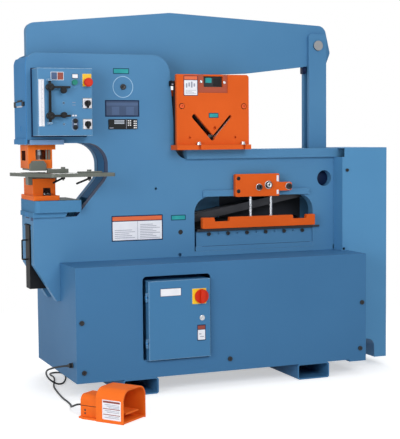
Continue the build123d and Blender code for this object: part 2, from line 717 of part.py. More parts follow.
with BuildPart() as shear_pivot_pin:
    pin_y(arm_pivot_x, arm_pivot_z, -plate_face + 2, plate_face - 2, arm_pin_r)
shear_pivot_pin.part.label = "shear_pivot_pin"
export_step(shear_pivot_pin.part, "parts/shear_pivot_pin.step")

# Rocker beam: one profiled plate on the main pin, above the head and out to the link
with BuildPart() as rocker_beam:
    plate(-beam_t / 2, beam_t / 2, [
        (-435, ram_pad_z, 6), (-435, 1698, 40), (271, 1766, 120), (1110, 1725, 45), (1142, 1590, 30),
        (1122, 1540, 8), (976, 1516, 0), (686, 1482, 0), (482, carrier_pad_z, 0), (378, carrier_pad_z, 0),
        (300, 1440, 40), (100, pivot_z - hub_r, 60), (-100, pivot_z - hub_r, 60), (-330, ram_pad_z, 20)])
    pin_y(0, pivot_z, -beam_t, beam_t, main_pin_r + running, mode=Mode.SUBTRACT)
    pin_y(link_x, link_upper_z, -beam_t, beam_t, link_pin_r + running, mode=Mode.SUBTRACT)
rocker_beam.part.label = "rocker_beam"
export_step(rocker_beam.part, "parts/rocker_beam.step")

# Link between the beam and the cylinder: two bars on an upper and a lower pin
bar_in = beam_t / 2 + link_gap
bar_out = bar_in + link_bar_t
with BuildPart() as link_bars:
    for y0, y1 in ((-bar_out, -bar_in), (bar_in, bar_out)):
        plate(y0, y1, [
            (link_x - link_half_width, link_lower_z - 46, 20), (link_x + link_half_width, link_lower_z - 46, 20),
            (link_x + link_half_width, 1682, 18), (link_x - link_half_width, 1682, 18)])
        pin_y(link_x, link_upper_z, y0 - 1, y1 + 1, link_pin_r + running, mode=Mode.SUBTRACT)
        pin_y(link_x, link_lower_z, y0 - 1, y1 + 1, link_pin_r + link_lower_clear, mode=Mode.SUBTRACT)
link_bars.part.label = "link_bars"
export_step(link_bars.part, "parts/link_bars.step")

with BuildPart() as link_pin_upper:
    pin_y(link_x, link_upper_z, -bar_out - 10, bar_out + 10, link_pin_r)
    pin_y(link_x, link_upper_z, -bar_out - 10, -bar_out - seat, link_pin_r + 3)
    pin_y(link_x, link_upper_z, bar_out + seat, bar_out + 10, link_pin_r + 3)
link_pin_upper.part.label = "link_pin_upper"
export_step(link_pin_upper.part, "parts/link_pin_upper.step")

with BuildPart() as link_pin_lower:
    pin_y(link_x, link_lower_z, -bar_out - 6, bar_out + 6, link_pin_r)
link_pin_lower.part.label = "link_pin_lower"
export_step(link_pin_lower.part, "parts/link_pin_lower.step")

# Hydraulic cylinder that stands in the base, and its rod with the eye for the lower pin
cylinder_r = 57.0
rod_r = 28.0
cylinder_top = 624.0
with BuildPart() as cylinder_body:
    block(link_x - 70, link_x + 70, -70, 70, base_bottom + sheet_t + seat, 110.0)
    pin_z(link_x, 0, 109.0, cylinder_top - 40, cylinder_r)
    pin_z(link_x, 0, cylinder_top - 41, cylinder_top, 46.0)
    pin_z(link_x, 0, 130.0, cylinder_top + 1, rod_r + running, mode=Mode.SUBTRACT)
cylinder_body.part.label = "cylinder_body"
export_step(cylinder_body.part, "parts/cylinder_body.step")

with BuildPart() as cylinder_rod:
    pin_z(link_x, 0, 310.0, link_lower_z - 53, rod_r)
    pin_y(link_x, link_lower_z, -beam_t / 2, beam_t / 2, 45.0)
    block(link_x - 26, link_x + 26, -beam_t / 2, beam_t / 2, link_lower_z - 56, link_lower_z)
    pin_y(link_x, link_lower_z, -beam_t, beam_t, link_pin_r + running, mode=Mode.SUBTRACT)
cylinder_rod.part.label = "cylinder_rod"
export_step(cylinder_rod.part, "parts/cylinder_rod.step")

# Plate shear: arm between the plates, its raked upper blade, the lower blade and its holder
arm_lower = [(380.0, 754.0), (380.0 + blade_length, 754.0 + blade_length * blade_slope)]
arm_right = arm_lower[1][0] + 8
with BuildPart() as shear_arm:
    plate(-arm_half_t, arm_half_t, [
        (236, 668, 40), (320, 668, 30), (arm_lower[0][0], arm_lower[0][1] + 4, 10),
        (arm_right, arm_lower[1][1] + 6, 4), (arm_right, arm_lower[1][1] + 22, 4),
        (arm_right - 73, arm_lower[1][1] + 16, 0), (354, 795, 60), (236, 778, 40)])
    pin_y(arm_pivot_x, arm_pivot_z, -arm_half_t - 1, arm_half_t + 1, arm_pin_r + running, mode=Mode.SUBTRACT)
shear_arm.part.label = "shear_arm"
export_step(shear_arm.part, "parts/shear_arm.step")

upper_back = -arm_half_t - seat
lower_back = upper_back - upper_blade_t - blade_gap
with BuildPart() as upper_blade:
    plate(upper_back - upper_blade_t, upper_back, [
        (arm_lower[0][0], arm_lower[0][1], 0), (arm_lower[1][0], arm_lower[1][1], 0),
        (arm_lower[1][0] - 4, arm_lower[1][1] + 20, 0), (arm_lower[1][0] - 130, arm_lower[1][1] + 12, 0),
        (arm_lower[0][0] + 60, arm_lower[0][1] + 50, 0), (arm_lower[0][0] - 8, arm_lower[0][1] + 38, 0)])
upper_blade.part.label = "upper_blade"
export_step(upper_blade.part, "parts/upper_blade.step")

with BuildPart() as lower_blade_holder:
    block(window_left + 12, window_right - seat, -holder_front, lower_back, 637.0,
          lower_blade_top - lower_blade_h - seat)
    block(window_left + 6, window_right - seat, -plate_face + 1, lower_back, window_bottom + seat, 638.0)
    for i in range(blade_bolts):
        pin_y(blade_bolt_x + i * blade_pitch, blade_bolt_z, -holder_front - 1, -holder_front + 15,
              blade_bolt_r - 2, mode=Mode.SUBTRACT)
        if i < blade_bolts - 1:
            pin_y(blade_bolt_x + (i + 0.5) * blade_pitch, blade_bolt_z, -holder_front - 1, -holder_front + 6,
                  5.0, mode=Mode.SUBTRACT)
lower_blade_holder.part.label = "lower_blade_holder"
export_step(lower_blade_holder.part, "parts/lower_blade_holder.step")

with BuildPart() as lower_blade:
    block(window_left + 12, window_right - seat, -plate_face, lower_back, lower_blade_top - lower_blade_h,
          lower_blade_top)
    block(window_left + 12, window_right + 32, -plate_face - 10, -plate_face - seat, lower_blade_top - 9, lower_blade_top)
    block(window_left + 12, window_right - seat, -plate_face - 1, -plate_face + 1, lower_blade_top - 9,
          lower_blade_top)
lower_blade.part.label = "lower_blade"
export_step(lower_blade.part, "parts/lower_blade.step")

# Hold-down: block on the pad, bar in front of the blade and the two jack screws between them
hold_back = plate_face + pad_t + seat
with BuildPart() as hold_down_block:
    plate(-hold_front, -hold_back, [
        (556, pad_bottom - 3.5, 5), (791, pad_bottom - 3.5, 5), (791, 902, 0), (861, 902, 12), (861, 944, 12),
        (791, 944, 0), (791, 987, 5), (556, 987, 5)])
    for z in (904.0, 966.0):
        pin_y(572.0, z, -hold_front - 1, -hold_front + 10, 8.0, mode=Mode.SUBTRACT)
    for x in jack_x:
        pin_z(x, -jack_y, pad_bottom - 10, 990.0, jack_r + running, mode=Mode.SUBTRACT)
hold_down_block.part.label = "hold_down_block"
export_step(hold_down_block.part, "parts/hold_down_block.step")

with BuildPart() as hold_down_bar:
    plate(-hold_front, -hold_back, [
        (hold_left, hold_bottom, 4), (hold_right, hold_bottom, 4), (hold_right, hold_top, 3), (944, hold_top, 2),
        (940, 761, 2), (869, 761, 2), (865, hold_top, 2), (526, hold_top, 2), (522, 760, 2), (447, 760, 2),
        (443, hold_top, 2), (hold_left, hold_top, 3)])
hold_down_bar.part.label = "hold_down_bar"
export_step(hold_down_bar.part, "parts/hold_down_bar.step")

with BuildPart() as jack_screws:
    for x in jack_x:
        pin_z(x, -jack_y, hold_top + seat, 975.0, jack_r)
jack_screws.part.label = "jack_screws"
export_step(jack_screws.part, "parts/jack_screws.step")

# Cap screws and nuts that show on the faces
with BuildPart() as cap_screws:
    cap_head(681.0, 922.0, -hold_front - seat, 13.0, 16.0)
    cap_head(842.0, 923.0, -hold_front - seat, 15.0, 12.0)
    with BuildSketch(upright(-hold_front - seat)) as nut:
        with Locations((732.0, 932.0)):
            RegularPolygon(18.0, 6)
    extrude(to_extrude=nut.sketch, amount=12)
    for x in (272.0, 592.0):
        cap_head(x, 1315.0, -cover_front + 8 - seat, 11.0, 9.0)
    for x, z in ((-292.0, 348.0), (-284.0, 124.0), (424.0, 132.0), (base_right - 23, 355.0), (base_right - 33, 129.0)):
        cap_head(x, z, -base_front - seat, 11.0, 5.0)
    cap_head(cabinet_left + 25, 998.0, -cabinet_half_depth - seat, 8.0, 6.0)
    for i in range(blade_bolts):
        cap_head(blade_bolt_x + i * blade_pitch, blade_bolt_z, -holder_front - seat, blade_bolt_r, 8.0)
    for x in (-373.0, -357.0):
        pin_z(x, -98, flange_top + seat, flange_top + 11, 6.5)
cap_screws.part.label = "cap_screws"
export_step(cap_screws.part, "parts/cap_screws.step")

# Clamp screws on the angle shear's flange, with their washers
with BuildPart() as clamp_screws:
    for x in (350.0, 580.0):
        pin_z(x, clamp_y, cover_bottom + seat, cover_bottom + 3, 14.0)
        pin_z(x, clamp_y, cover_bottom + 2.5, cover_bottom + 14, 9.0)
clamp_screws.part.label = "clamp_screws"
export_step(clamp_screws.part, "parts/clamp_screws.step")

# Control box on the head, with the trip rod and its brackets
trip_x, trip_y = -381.0, -226.0
trip_r = 6.0
press_depth = 5.0
with BuildPart() as control_box:
    block(-box_left, -box_right, -box_front, -plate_face - seat, box_bottom, box_top)
    fillet(control_box.edges().filter_by(Axis.Z).group_by(Axis.Y)[0], 5)
    pin_z(trip_x, trip_y, 1232.0, 1432.0, trip_r)
    for z in (1236.0, 1428.0):
        block(trip_x - 8, trip_x + 8, trip_y - 8, -box_front + 0.5, z - 4, z + 4)
    for z in (1326.0, 1231.0):
        pin_y(-314.0, z, -box_front - 1, -box_front + 10, 4.0, mode=Mode.SUBTRACT)
    block(-428, -404, -box_front - 1.5, -box_front + 0.5, 1222.0, 1431.0)
    block(-225, -184, -box_front - 2, -box_front + 0.5, 1413.0, 1457.0)
    for z in (1325.0, 1231.0):
        block(-226, -182, -box_front - 2, -box_front + 0.5, z - 23, z + 23)
    pin_y(-204.0, 1419.0, -box_front - 3, -box_front + press_depth + 1, 13.0 + running, mode=Mode.SUBTRACT)
    pin_y(-263.0, 1419.0, -box_front - 1, -box_front + press_depth + 1, 12.5 + running, mode=Mode.SUBTRACT)
    with BuildSketch(upright(-box_front)) as double:
        with Locations((-263, 1231)):
            SlotOverall(56, 26, rotation=90)
    extrude(to_extrude=double.sketch, amount=6)
control_box.part.label = "control_box"
export_step(control_box.part, "parts/control_box.step")


def trip_arm(z, tip_z):
    """Clamp knob on the trip rod, with the arm and the small knob at its end."""
    pin_y(trip_x, z, trip_y - 18, trip_y + 9, 17.0)
    block(trip_x, -289, trip_y - 12, trip_y - 4, z - 5, z + 5)
    pin_y(-321.0, tip_z, trip_y - 20, trip_y - 3, 13.5)
    pin_z(trip_x, trip_y, z - 20, z + 20, trip_r + running, mode=Mode.SUBTRACT)


with BuildPart() as trip_arm_upper:
    trip_arm(1396.0, 1381.0)
trip_arm_upper.part.label = "trip_arm_upper"
export_step(trip_arm_upper.part, "parts/trip_arm_upper.step")

with BuildPart() as trip_arm_lower:
    trip_arm(1268.0, 1272.0)
trip_arm_lower.part.label = "trip_arm_lower"
export_step(trip_arm_lower.part, "parts/trip_arm_lower.step")

# Buttons and selectors, each on a short stem in the box's face
with BuildPart() as estop_button:
    pin_y(-204.0, 1419.0, -box_front - 20, -box_front + 0.5, 13.0)
    pin_y(-204.0, 1419.0, -box_front - 34, -box_front - 16, 20.0)
    fillet(estop_button.edges().filter_by(GeomType.CIRCLE).sort_by(Axis.Y)[0], 6)
estop_button.part.label = "estop_button"
export_step(estop_button.part, "parts/estop_button.step")

with BuildPart() as start_button:
    pin_y(-263.0, 1419.0, -box_front - 12, -box_front + 0.5, 12.5)
start_button.part.label = "start_button"
export_step(start_button.part, "parts/start_button.step")


def selector(z):
    """Selector knob with its grip bar."""
    pin_y(-204.0, z, -box_front - 12, -box_front - 2 - seat, 14.0)
    with BuildSketch(upright(-box_front - 11)) as grip:
        with Locations((-204.0, z)):
            SlotOverall(25, 9, rotation=75)
    extrude(to_extrude=grip.sketch, amount=14)


with BuildPart() as selector_upper:
    selector(1325.0)
selector_upper.part.label = "selector_upper"
export_step(selector_upper.part, "parts/selector_upper.step")

with BuildPart() as selector_lower:
    selector(1231.0)
selector_lower.part.label = "selector_lower"
export_step(selector_lower.part, "parts/selector_lower.step")

# Electrical enclosure in the base's opening: a tray with its devices, and the door in front
tray_front = base_front - 2.0
with BuildPart() as electrical_enclosure:
    block(door_left, door_right, -tray_front, -tray_front + enclosure_depth, door_bottom, door_top)
    block(door_left + enclosure_wall, door_right - enclosure_wall, -tray_front - 1,
          -tray_front + enclosure_depth - enclosure_wall, door_bottom + enclosure_wall,
          door_top - enclosure_wall, mode=Mode.SUBTRACT)
    back = -tray_front + enclosure_depth - enclosure_wall + 0.5
    for row, (height, count, width) in enumerate(((84.0, 3, 60.0), (62.0, 8, 22.0), (50.0, 12, 15.0))):
        row_z = door_top - 90 - row * 105
        for i in range(count):
            device_x = (door_left + door_right) / 2 + (i - (count - 1) / 2) * (width + 4)
            block(device_x - width / 2, device_x + width / 2, back - 60 + 12 * row, back, row_z - height / 2,
                  row_z + height / 2)
    for z in hinge_heights:
        pin_z(hinge_x, hinge_y, z - hinge_half, z + hinge_half, hinge_pin_r)
        block(hinge_x - 2, hinge_x + 2, hinge_y, -tray_front + 5, z - hinge_leaf_half, z + hinge_leaf_half)
        block(hinge_x - 2, door_left + 1, -tray_front + 1, -tray_front + 5, z - hinge_leaf_half,
              z + hinge_leaf_half)
electrical_enclosure.part.label = "electrical_enclosure"
export_step(electrical_enclosure.part, "parts/electrical_enclosure.step")

door_back = tray_front + seat
with BuildPart() as enclosure_door:
    block(door_left, door_right, -door_back - door_t, -door_back, door_bottom, door_top)
    fillet(enclosure_door.edges().filter_by(Axis.Z).group_by(Axis.Y)[0], 5)
    block(door_left + 2, door_right - 2, -door_back - door_t + 2, -door_back + 1, door_bottom + 2, door_top - 2,
          mode=Mode.SUBTRACT)
    block(228, 296, -door_back - door_t - 2, -door_back - door_t + 1, 405.0, 475.0)
    for z in hinge_heights:
        for z0, z1 in ((z - hinge_half, z - hinge_leaf_half - seat), (z + hinge_leaf_half + seat, z + hinge_half)):
            pin_z(hinge_x, hinge_y, z0, z1, hinge_pin_r + 1.5)
            block(hinge_x, door_left + 1, hinge_y - 2.5, hinge_y + 2.5, z0, z1)
            pin_z(hinge_x, hinge_y, z0 - 1, z1 + 1, hinge_pin_r + running, mode=Mode.SUBTRACT)
enclosure_door.part.label = "enclosure_door"
export_step(enclosure_door.part, "parts/enclosure_door.step")

with BuildPart() as disconnect_handle:
    disc_y = -door_back - door_t - 2 - seat
    pin_y(272.0, 439.0, disc_y - 8, disc_y, 33.0)
    with BuildSketch(upright(disc_y - 7)) as grip:
        with Locations((272.0, 439.0)):
            SlotOverall(60, 20, rotation=90)
    extrude(to_extrude=grip.sketch, amount=16)
disconnect_handle.part.label = "disconnect_handle"
export_step(disconnect_handle.part, "parts/disconnect_handle.step")

with BuildPart() as door_latch:
    latch_y = -door_back - door_t - seat
    pin_y(276.0, 339.0, latch_y - 5, latch_y, 10.0)
    block(274, 278, latch_y - 6, latch_y - 4, 332.0, 346.0, mode=Mode.SUBTRACT)
door_latch.part.label = "door_latch"
export_step(door_latch.part, "parts/door_latch.step")

# Slug bin: an open box that hangs by its rim on the rails between the plates
with BuildPart() as slug_bin:
    block(-bin_left, -bin_right, -bin_front, bin_back, bin_bottom, bin_top)
    block(-bin_left + bin_wall, -bin_right - bin_wall, -bin_front + bin_wall, bin_back - bin_wall,
          bin_bottom + bin_wall, bin_top + 1, mode=Mode.SUBTRACT)
    block(-bin_left, -bin_right, -half_gap + 1.0, -bin_front + 1, bin_top - 4, bin_top)
    block(-bin_left, -bin_right, bin_back - 1, bin_back + 22, bin_top - 4, bin_top)
    handle_y = (bin_back - bin_front) / 2
    for z in (608.0, 698.0):
        pin_x(handle_y, z, -bin_left - 26, -bin_left + 1, 3.5)
    pin_z(-bin_left - 26, handle_y, 608.0, 698.0, 3.5)
slug_bin.part.label = "slug_bin"
export_step(slug_bin.part, "parts/slug_bin.step")

# Foot switch: base with the rear body, guard hood and the treadle inside
pedal_floor = Plane(origin=place(pedal_front_x, pedal_front_y, 0),
                    x_dir=(math.cos(math.radians(pedal_turn)), math.sin(math.radians(pedal_turn)), 0),
                    z_dir=(0, 0, 1))


def pedal_at(across, back, up):
    """A point of the foot switch as a point from the origin."""
    return pedal_floor.from_local_coords((across, back, up))


def pedal_profile(back, corners):
    """Outline across the foot switch, facing its front."""
    facing = Plane(origin=pedal_at(0, back, 0), x_dir=pedal_floor.x_dir, z_dir=-pedal_floor.y_dir)
    return outline(facing, corners)


def pedal_block(a0, a1, b0, b1, z0, z1, mode=Mode.ADD):
    """Box in the foot switch's own directions."""
    extrude(to_extrude=pedal_profile(b1, [(a0, z0, 0), (a1, z0, 0), (a1, z1, 0), (a0, z1, 0)]),
            amount=b1 - b0, mode=mode)


hood_w = pedal_half_width
hood_depth = hood_length + 24
treadle_back = 120.0
with BuildPart() as pedal_base:
    pedal_block(-hood_w + hood_wall + seat, hood_w - hood_wall - seat, 6, pedal_length - 20, 0, 8)
    extrude(to_extrude=pedal_profile(pedal_length, [
        (-rear_half_width, 0, 0), (rear_half_width, 0, 0), (rear_half_width, rear_height, 26),
        (-rear_half_width, rear_height, 26)]), amount=pedal_length - hood_depth - seat)
    pedal_block(-rear_half_width - 14, rear_half_width + 14, pedal_length - 30, pedal_length, 0, 8)
    for side in (-1, 1):
        a0, a1 = sorted((side * 50.0, side * 58.0))
        pedal_block(a0, a1, treadle_back - 14, treadle_back + 9, 7, 42)
    with Locations(Plane(origin=pedal_at(0, treadle_back - 4, 30), z_dir=pedal_floor.x_dir)):
        Cylinder(4.0, 110)
pedal_base.part.label = "pedal_base"
export_step(pedal_base.part, "parts/pedal_base.step")

with BuildPart() as pedal_hood:
    extrude(to_extrude=pedal_profile(hood_depth, [
        (-hood_w, 0, 0), (hood_w, 0, 0), (hood_w, hood_height, 46), (-hood_w, hood_height, 46)]),
        amount=hood_depth)
    extrude(to_extrude=pedal_profile(hood_depth - hood_wall, [
        (-hood_w + hood_wall, -1, 0), (hood_w - hood_wall, -1, 0),
        (hood_w - hood_wall, hood_height - hood_wall, 46 - hood_wall),
        (-hood_w + hood_wall, hood_height - hood_wall, 46 - hood_wall)]),
        amount=hood_length + 30, mode=Mode.SUBTRACT)
    pedal_block(-62, 62, hood_length, hood_length + 30, -1, 70, mode=Mode.SUBTRACT)
    pedal_block(-hood_w + hood_wall, hood_w - hood_wall, hood_length, hood_length + 30, -1, 8 + seat,
                mode=Mode.SUBTRACT)
pedal_hood.part.label = "pedal_hood"
export_step(pedal_hood.part, "parts/pedal_hood.step")

with BuildPart() as pedal_treadle:
    pedal_block(-46, 46, 12, treadle_back - 8, 34, 40)
    pedal_block(-46, 46, treadle_back - 12, treadle_back + 4, 26, 40)
    with Locations(Plane(origin=pedal_at(0, treadle_back - 4, 30), z_dir=pedal_floor.x_dir)):
        Cylinder(4.0 + running, 120, mode=Mode.SUBTRACT)
pedal_treadle.part.label = "pedal_treadle"
export_step(pedal_treadle.part, "parts/pedal_treadle.step")

# Cord: glands at both ends and the tube between them
gland_length = 18.0
pedal_gland_z = 40.0
pedal_exit = pedal_at(0, pedal_length + gland_length, pedal_gland_z)
with BuildPart() as cable_glands:
    pin_x(gland_y, gland_z, -base_left - gland_length, -base_left - seat, 11.0)
    with Locations(Plane(origin=pedal_at(0, pedal_length + (gland_length + seat) / 2, pedal_gland_z),
                         z_dir=pedal_floor.y_dir)):
        Cylinder(9.0, gland_length - seat)
cable_glands.part.label = "cable_glands"
export_step(cable_glands.part, "parts/cable_glands.step")

cord_points = [
    (-336, -305, 150), (-370, -305, 150), (-402, -268, 138), (-412, -206, 118), (-400, -140, 92),
    (-380, -80, 62), (-352, -36, 32), (-318, -22, 9), (-288, -6, 4.25), (-262, 44, 4.25),
    (-240, 104, 4.25), (-222, 172, 4.25), (-216, 236, 4.25), (-234, 267, 4.25), (-270, 267, 4.25),
    (-288, 236, 4.25),
    (-282, 172, 4.25), (-296, 102, 4.25), (-320, 26, 4.25), (-342, -52, 4.25), (-352, -136, 4.25),
    (-360, -222, 4.25), (-366, -306, 4.25), (-364, -380, 4.25), (-368, -446, 4.25), (-386, -508, 10),
    (-390, -556, 26)]
route = [Vector(*place(*p)) for p in cord_points]
route.append(pedal_exit + pedal_floor.y_dir * 34)
route.append(pedal_exit)
radii = []
for before, here, after in zip(route, route[1:], route[2:]):
    turn = math.radians((here - before).get_angle(after - here))
    shorter = min((here - before).length, (after - here).length)
    radii.append(0.45 * shorter / math.tan(turn / 2))
with BuildPart() as pedal_cord:
    with BuildLine() as path:
        FilletPolyline(*route, radius=radii)
    with BuildSketch(Plane(origin=path.line @ 0, z_dir=path.line % 0)) as ring:
        Circle(cord_r)
    sweep(sections=ring.sketch, path=path.line)
print("cord radii", [round(r) for r in radii])
length = sum(edge.length for edge in path.edges())
print("cord volume", round(pedal_cord.part.volume), "section times length",
      round(math.pi * cord_r ** 2 * length), "length", round(length))
pedal_cord.part.label = "pedal_cord"
export_step(pedal_cord.part, "parts/pedal_cord.step")
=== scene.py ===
# Looks of the ironworker: camera, light, finishes and the fine detail on the machine's solids.
# Places are written as in the machine's source: millimetres, x from the rocker pivot, y from the
# middle plane between the frame plates, z from the floor. at() turns them into metres.
import bpy
import bmesh
import math
from mathutils import Matrix, Vector


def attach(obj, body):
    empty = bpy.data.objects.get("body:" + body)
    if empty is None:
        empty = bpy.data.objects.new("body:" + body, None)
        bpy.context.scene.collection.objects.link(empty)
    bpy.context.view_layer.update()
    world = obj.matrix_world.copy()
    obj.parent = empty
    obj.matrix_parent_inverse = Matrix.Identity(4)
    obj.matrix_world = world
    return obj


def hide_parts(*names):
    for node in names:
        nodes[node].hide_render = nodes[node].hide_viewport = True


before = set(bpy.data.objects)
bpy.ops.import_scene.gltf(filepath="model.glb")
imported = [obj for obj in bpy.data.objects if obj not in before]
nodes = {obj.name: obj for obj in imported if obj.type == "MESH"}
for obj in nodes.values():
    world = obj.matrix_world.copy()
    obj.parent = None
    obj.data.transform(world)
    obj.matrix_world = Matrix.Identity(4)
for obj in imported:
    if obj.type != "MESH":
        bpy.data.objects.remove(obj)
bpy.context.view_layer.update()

MM = 0.001
PIVOT = Vector((-0.432, 0.271, 0.0))
CAMERA_PLACE = (-2.1349, -4.9911, 1.1643)
CAMERA_HEADING, CAMERA_PITCH, CAMERA_ROLL = 0.3847, -0.0707, -0.0082
PLATE_FACE = -110.0
PANEL_FACE = -210.0
COVER_FACE = -170.0
DOOR_FACE = -391.3
FRONT = (0, -1, 0)
CORD_RADIUS = 4.25
FLOAT, VECTOR, COLOUR = "NodeSocketFloat", "NodeSocketVector", "NodeSocketColor"


def at(x, y, z):
    """A place on the machine, in metres from the origin."""
    return PIVOT + Vector((x, y, z)) * MM


def linked(name, data):
    """A new object of the scene."""
    made = bpy.data.objects.new(name, data)
    bpy.context.scene.collection.objects.link(made)
    return made


# Camera
def make_camera():
    """The photograph's own camera, turned by heading, pitch and roll."""
    forward = Vector((math.sin(CAMERA_HEADING) * math.cos(CAMERA_PITCH),
                      math.cos(CAMERA_HEADING) * math.cos(CAMERA_PITCH), math.sin(CAMERA_PITCH)))
    right = Vector((math.cos(CAMERA_HEADING), -math.sin(CAMERA_HEADING), 0.0))
    up = right.cross(forward)
    turned_right = right * math.cos(CAMERA_ROLL) + up * math.sin(CAMERA_ROLL)
    turned_up = up * math.cos(CAMERA_ROLL) - right * math.sin(CAMERA_ROLL)
    data = bpy.data.cameras.new("camera")
    data.sensor_fit = "AUTO"
    data.sensor_width = 36.0
    data.lens = 94.45
    data.clip_end = 60.0
    camera = linked("camera", data)
    axes = Matrix((turned_right, turned_up, -forward)).transposed().to_4x4()
    camera.matrix_world = Matrix.Translation(CAMERA_PLACE) @ axes
    bpy.context.scene.camera = camera


make_camera()


# Shared shader groups
def group(name, inputs, outputs):
    """Shader node group with named inputs (name, kind, default) and outputs (name, kind)."""
    tree = bpy.data.node_groups.new(name, "ShaderNodeTree")
    for title, kind, default in inputs:
        socket = tree.interface.new_socket(name=title, in_out="INPUT", socket_type=kind)
        socket.default_value = default
    for title, kind in outputs:
        tree.interface.new_socket(name=title, in_out="OUTPUT", socket_type=kind)
    return tree, tree.nodes.new("NodeGroupInput").outputs


def add_node(tree, kind, **sockets):
    """A new node; each named socket gets a link from another node's output, or else a value."""
    node = tree.nodes.new(kind)
    for title, value in sockets.items():
        fill(tree, node.inputs[title.replace("_", " ")], value)
    return node


def fill(tree, socket, value):
    if isinstance(value, bpy.types.NodeSocket):
        tree.links.new(value, socket)
    else:
        socket.default_value = value


def math_node(tree, operation, *values, clamp=False):
    node = tree.nodes.new("ShaderNodeMath")
    node.operation = operation
    node.use_clamp = clamp
    for socket, value in zip(node.inputs, values):
        fill(tree, socket, value)
    return node.outputs[0]


def vector_node(tree, operation, *values):
    node = tree.nodes.new("ShaderNodeVectorMath")
    node.operation = operation
    for socket, value in zip(node.inputs, values):
        fill(tree, socket, value)
    return node


def object_place(tree):
    return tree.nodes.new("ShaderNodeTexCoord").outputs["Object"]


def noise(tree, scale, detail, roughness=0.5):
    """Noise on object coordinates; scale is a number or a socket."""
    return add_node(tree, "ShaderNodeTexNoise", Vector=object_place(tree), Scale=scale, Detail=detail,
                    Roughness=roughness).outputs["Fac"]


def mix_colour(tree, factor, a, b):
    node = tree.nodes.new("ShaderNodeMix")
    node.data_type = "RGBA"
    tree.links.new(factor, node.inputs["Factor"])
    for title, value in (("A", a), ("B", b)):
        fill(tree, [s for s in node.inputs if s.name == title and s.type == "RGBA"][0], value)
    return [s for s in node.outputs if s.type == "RGBA"][0]


def build_cloudy():
    """Slow change between two tones, as sprayed paint or worn plastic has."""
    grey = (0.5, 0.5, 0.5, 1)
    tree, entry = group("cloudy_tone", [
        ("Tone", COLOUR, grey), ("Other tone", COLOUR, grey),
        ("Scale", FLOAT, 3.0)], [("Colour", COLOUR), ("Mask", FLOAT)])
    spread = math_node(tree, "MULTIPLY_ADD", noise(tree, entry["Scale"], 3.0), 2.2, -0.6, clamp=True)
    add_node(tree, "NodeGroupOutput", Mask=spread,
             Colour=mix_colour(tree, spread, entry["Tone"], entry["Other tone"]))
    return tree


def build_edge():
    """Mask that is 1 on the sharp edges of a solid, and the rounded normal there."""
    tree, entry = group("edge_round", [("Radius", FLOAT, 0.002)], [("Normal", VECTOR), ("Mask", FLOAT)])
    bevel = add_node(tree, "ShaderNodeBevel", Radius=entry["Radius"])
    bevel.samples = 6
    shape = tree.nodes.new("ShaderNodeNewGeometry")
    dot = vector_node(tree, "DOT_PRODUCT", bevel.outputs["Normal"], shape.outputs["True Normal"])
    away = math_node(tree, "SUBTRACT", 1.0, dot.outputs["Value"])
    add_node(tree, "NodeGroupOutput", Normal=bevel.outputs["Normal"],
             Mask=math_node(tree, "MULTIPLY", away, 5.0, clamp=True))
    return tree


def build_skin():
    """Fine relief of a finish: its waviness and its grain added up."""
    tree, entry = group("fine_relief", [
        ("Wave scale", FLOAT, 160.0), ("Grain scale", FLOAT, 900.0),
        ("Grain part", FLOAT, 0.3)], [("Height", FLOAT)])
    wave = noise(tree, entry["Wave scale"], 2.0)
    grain = noise(tree, entry["Grain scale"], 1.0)
    part = math_node(tree, "MULTIPLY", grain, entry["Grain part"])
    add_node(tree, "NodeGroupOutput", Height=math_node(tree, "ADD", wave, part))
    return tree


def build_brushed():
    """Lines of a turned or ground finish along one object axis."""
    tree, entry = group("ground_lines", [("Stretch", VECTOR, (4.0, 4.0, 700.0))], [("Lines", FLOAT)])
    scale = vector_node(tree, "MULTIPLY", object_place(tree), entry["Stretch"])
    lines = add_node(tree, "ShaderNodeTexNoise", Scale=1.0, Detail=3.0, Vector=scale.outputs["Vector"])
    add_node(tree, "NodeGroupOutput", Lines=lines.outputs["Fac"])
    return tree


def build_inside():
    """Mask that is 1 inside a box given by its lowest and highest corner in object coordinates."""
    tree, entry = group("inside_box", [("Low", VECTOR, (0.0, 0.0, 0.0)), ("High", VECTOR, (1.0, 1.0, 1.0))],
                        [("Mask", FLOAT)])
    place = object_place(tree)
    least = None
    for first, second in ((place, entry["Low"]), (entry["High"], place)):
        parts = tree.nodes.new("ShaderNodeSeparateXYZ")
        tree.links.new(vector_node(tree, "SUBTRACT", first, second).outputs["Vector"], parts.inputs[0])
        for part in parts.outputs:
            least = part if least is None else math_node(tree, "MINIMUM", least, part)
    add_node(tree, "NodeGroupOutput", Mask=math_node(tree, "MULTIPLY", least, 1500.0, clamp=True))
    return tree


CLOUDY = build_cloudy()
INSIDE = build_inside()
EDGE = build_edge()
RELIEF = build_skin()
GROUND = build_brushed()


def linear(colour):
    """An sRGB colour written as a hex string, in linear light."""
    parts = [int(colour[i:i + 2], 16) / 255 for i in (0, 2, 4)]
    return tuple((c / 12.92 if c <= 0.04045 else ((c + 0.055) / 1.055) ** 2.4) for c in parts) + (1.0,)


def finish_group(tree, which, **values):
    node = tree.nodes.new("ShaderNodeGroup")
    node.node_tree = which
    for title, value in values.items():
        node.inputs[title.replace("_", " ")].default_value = value
    return node


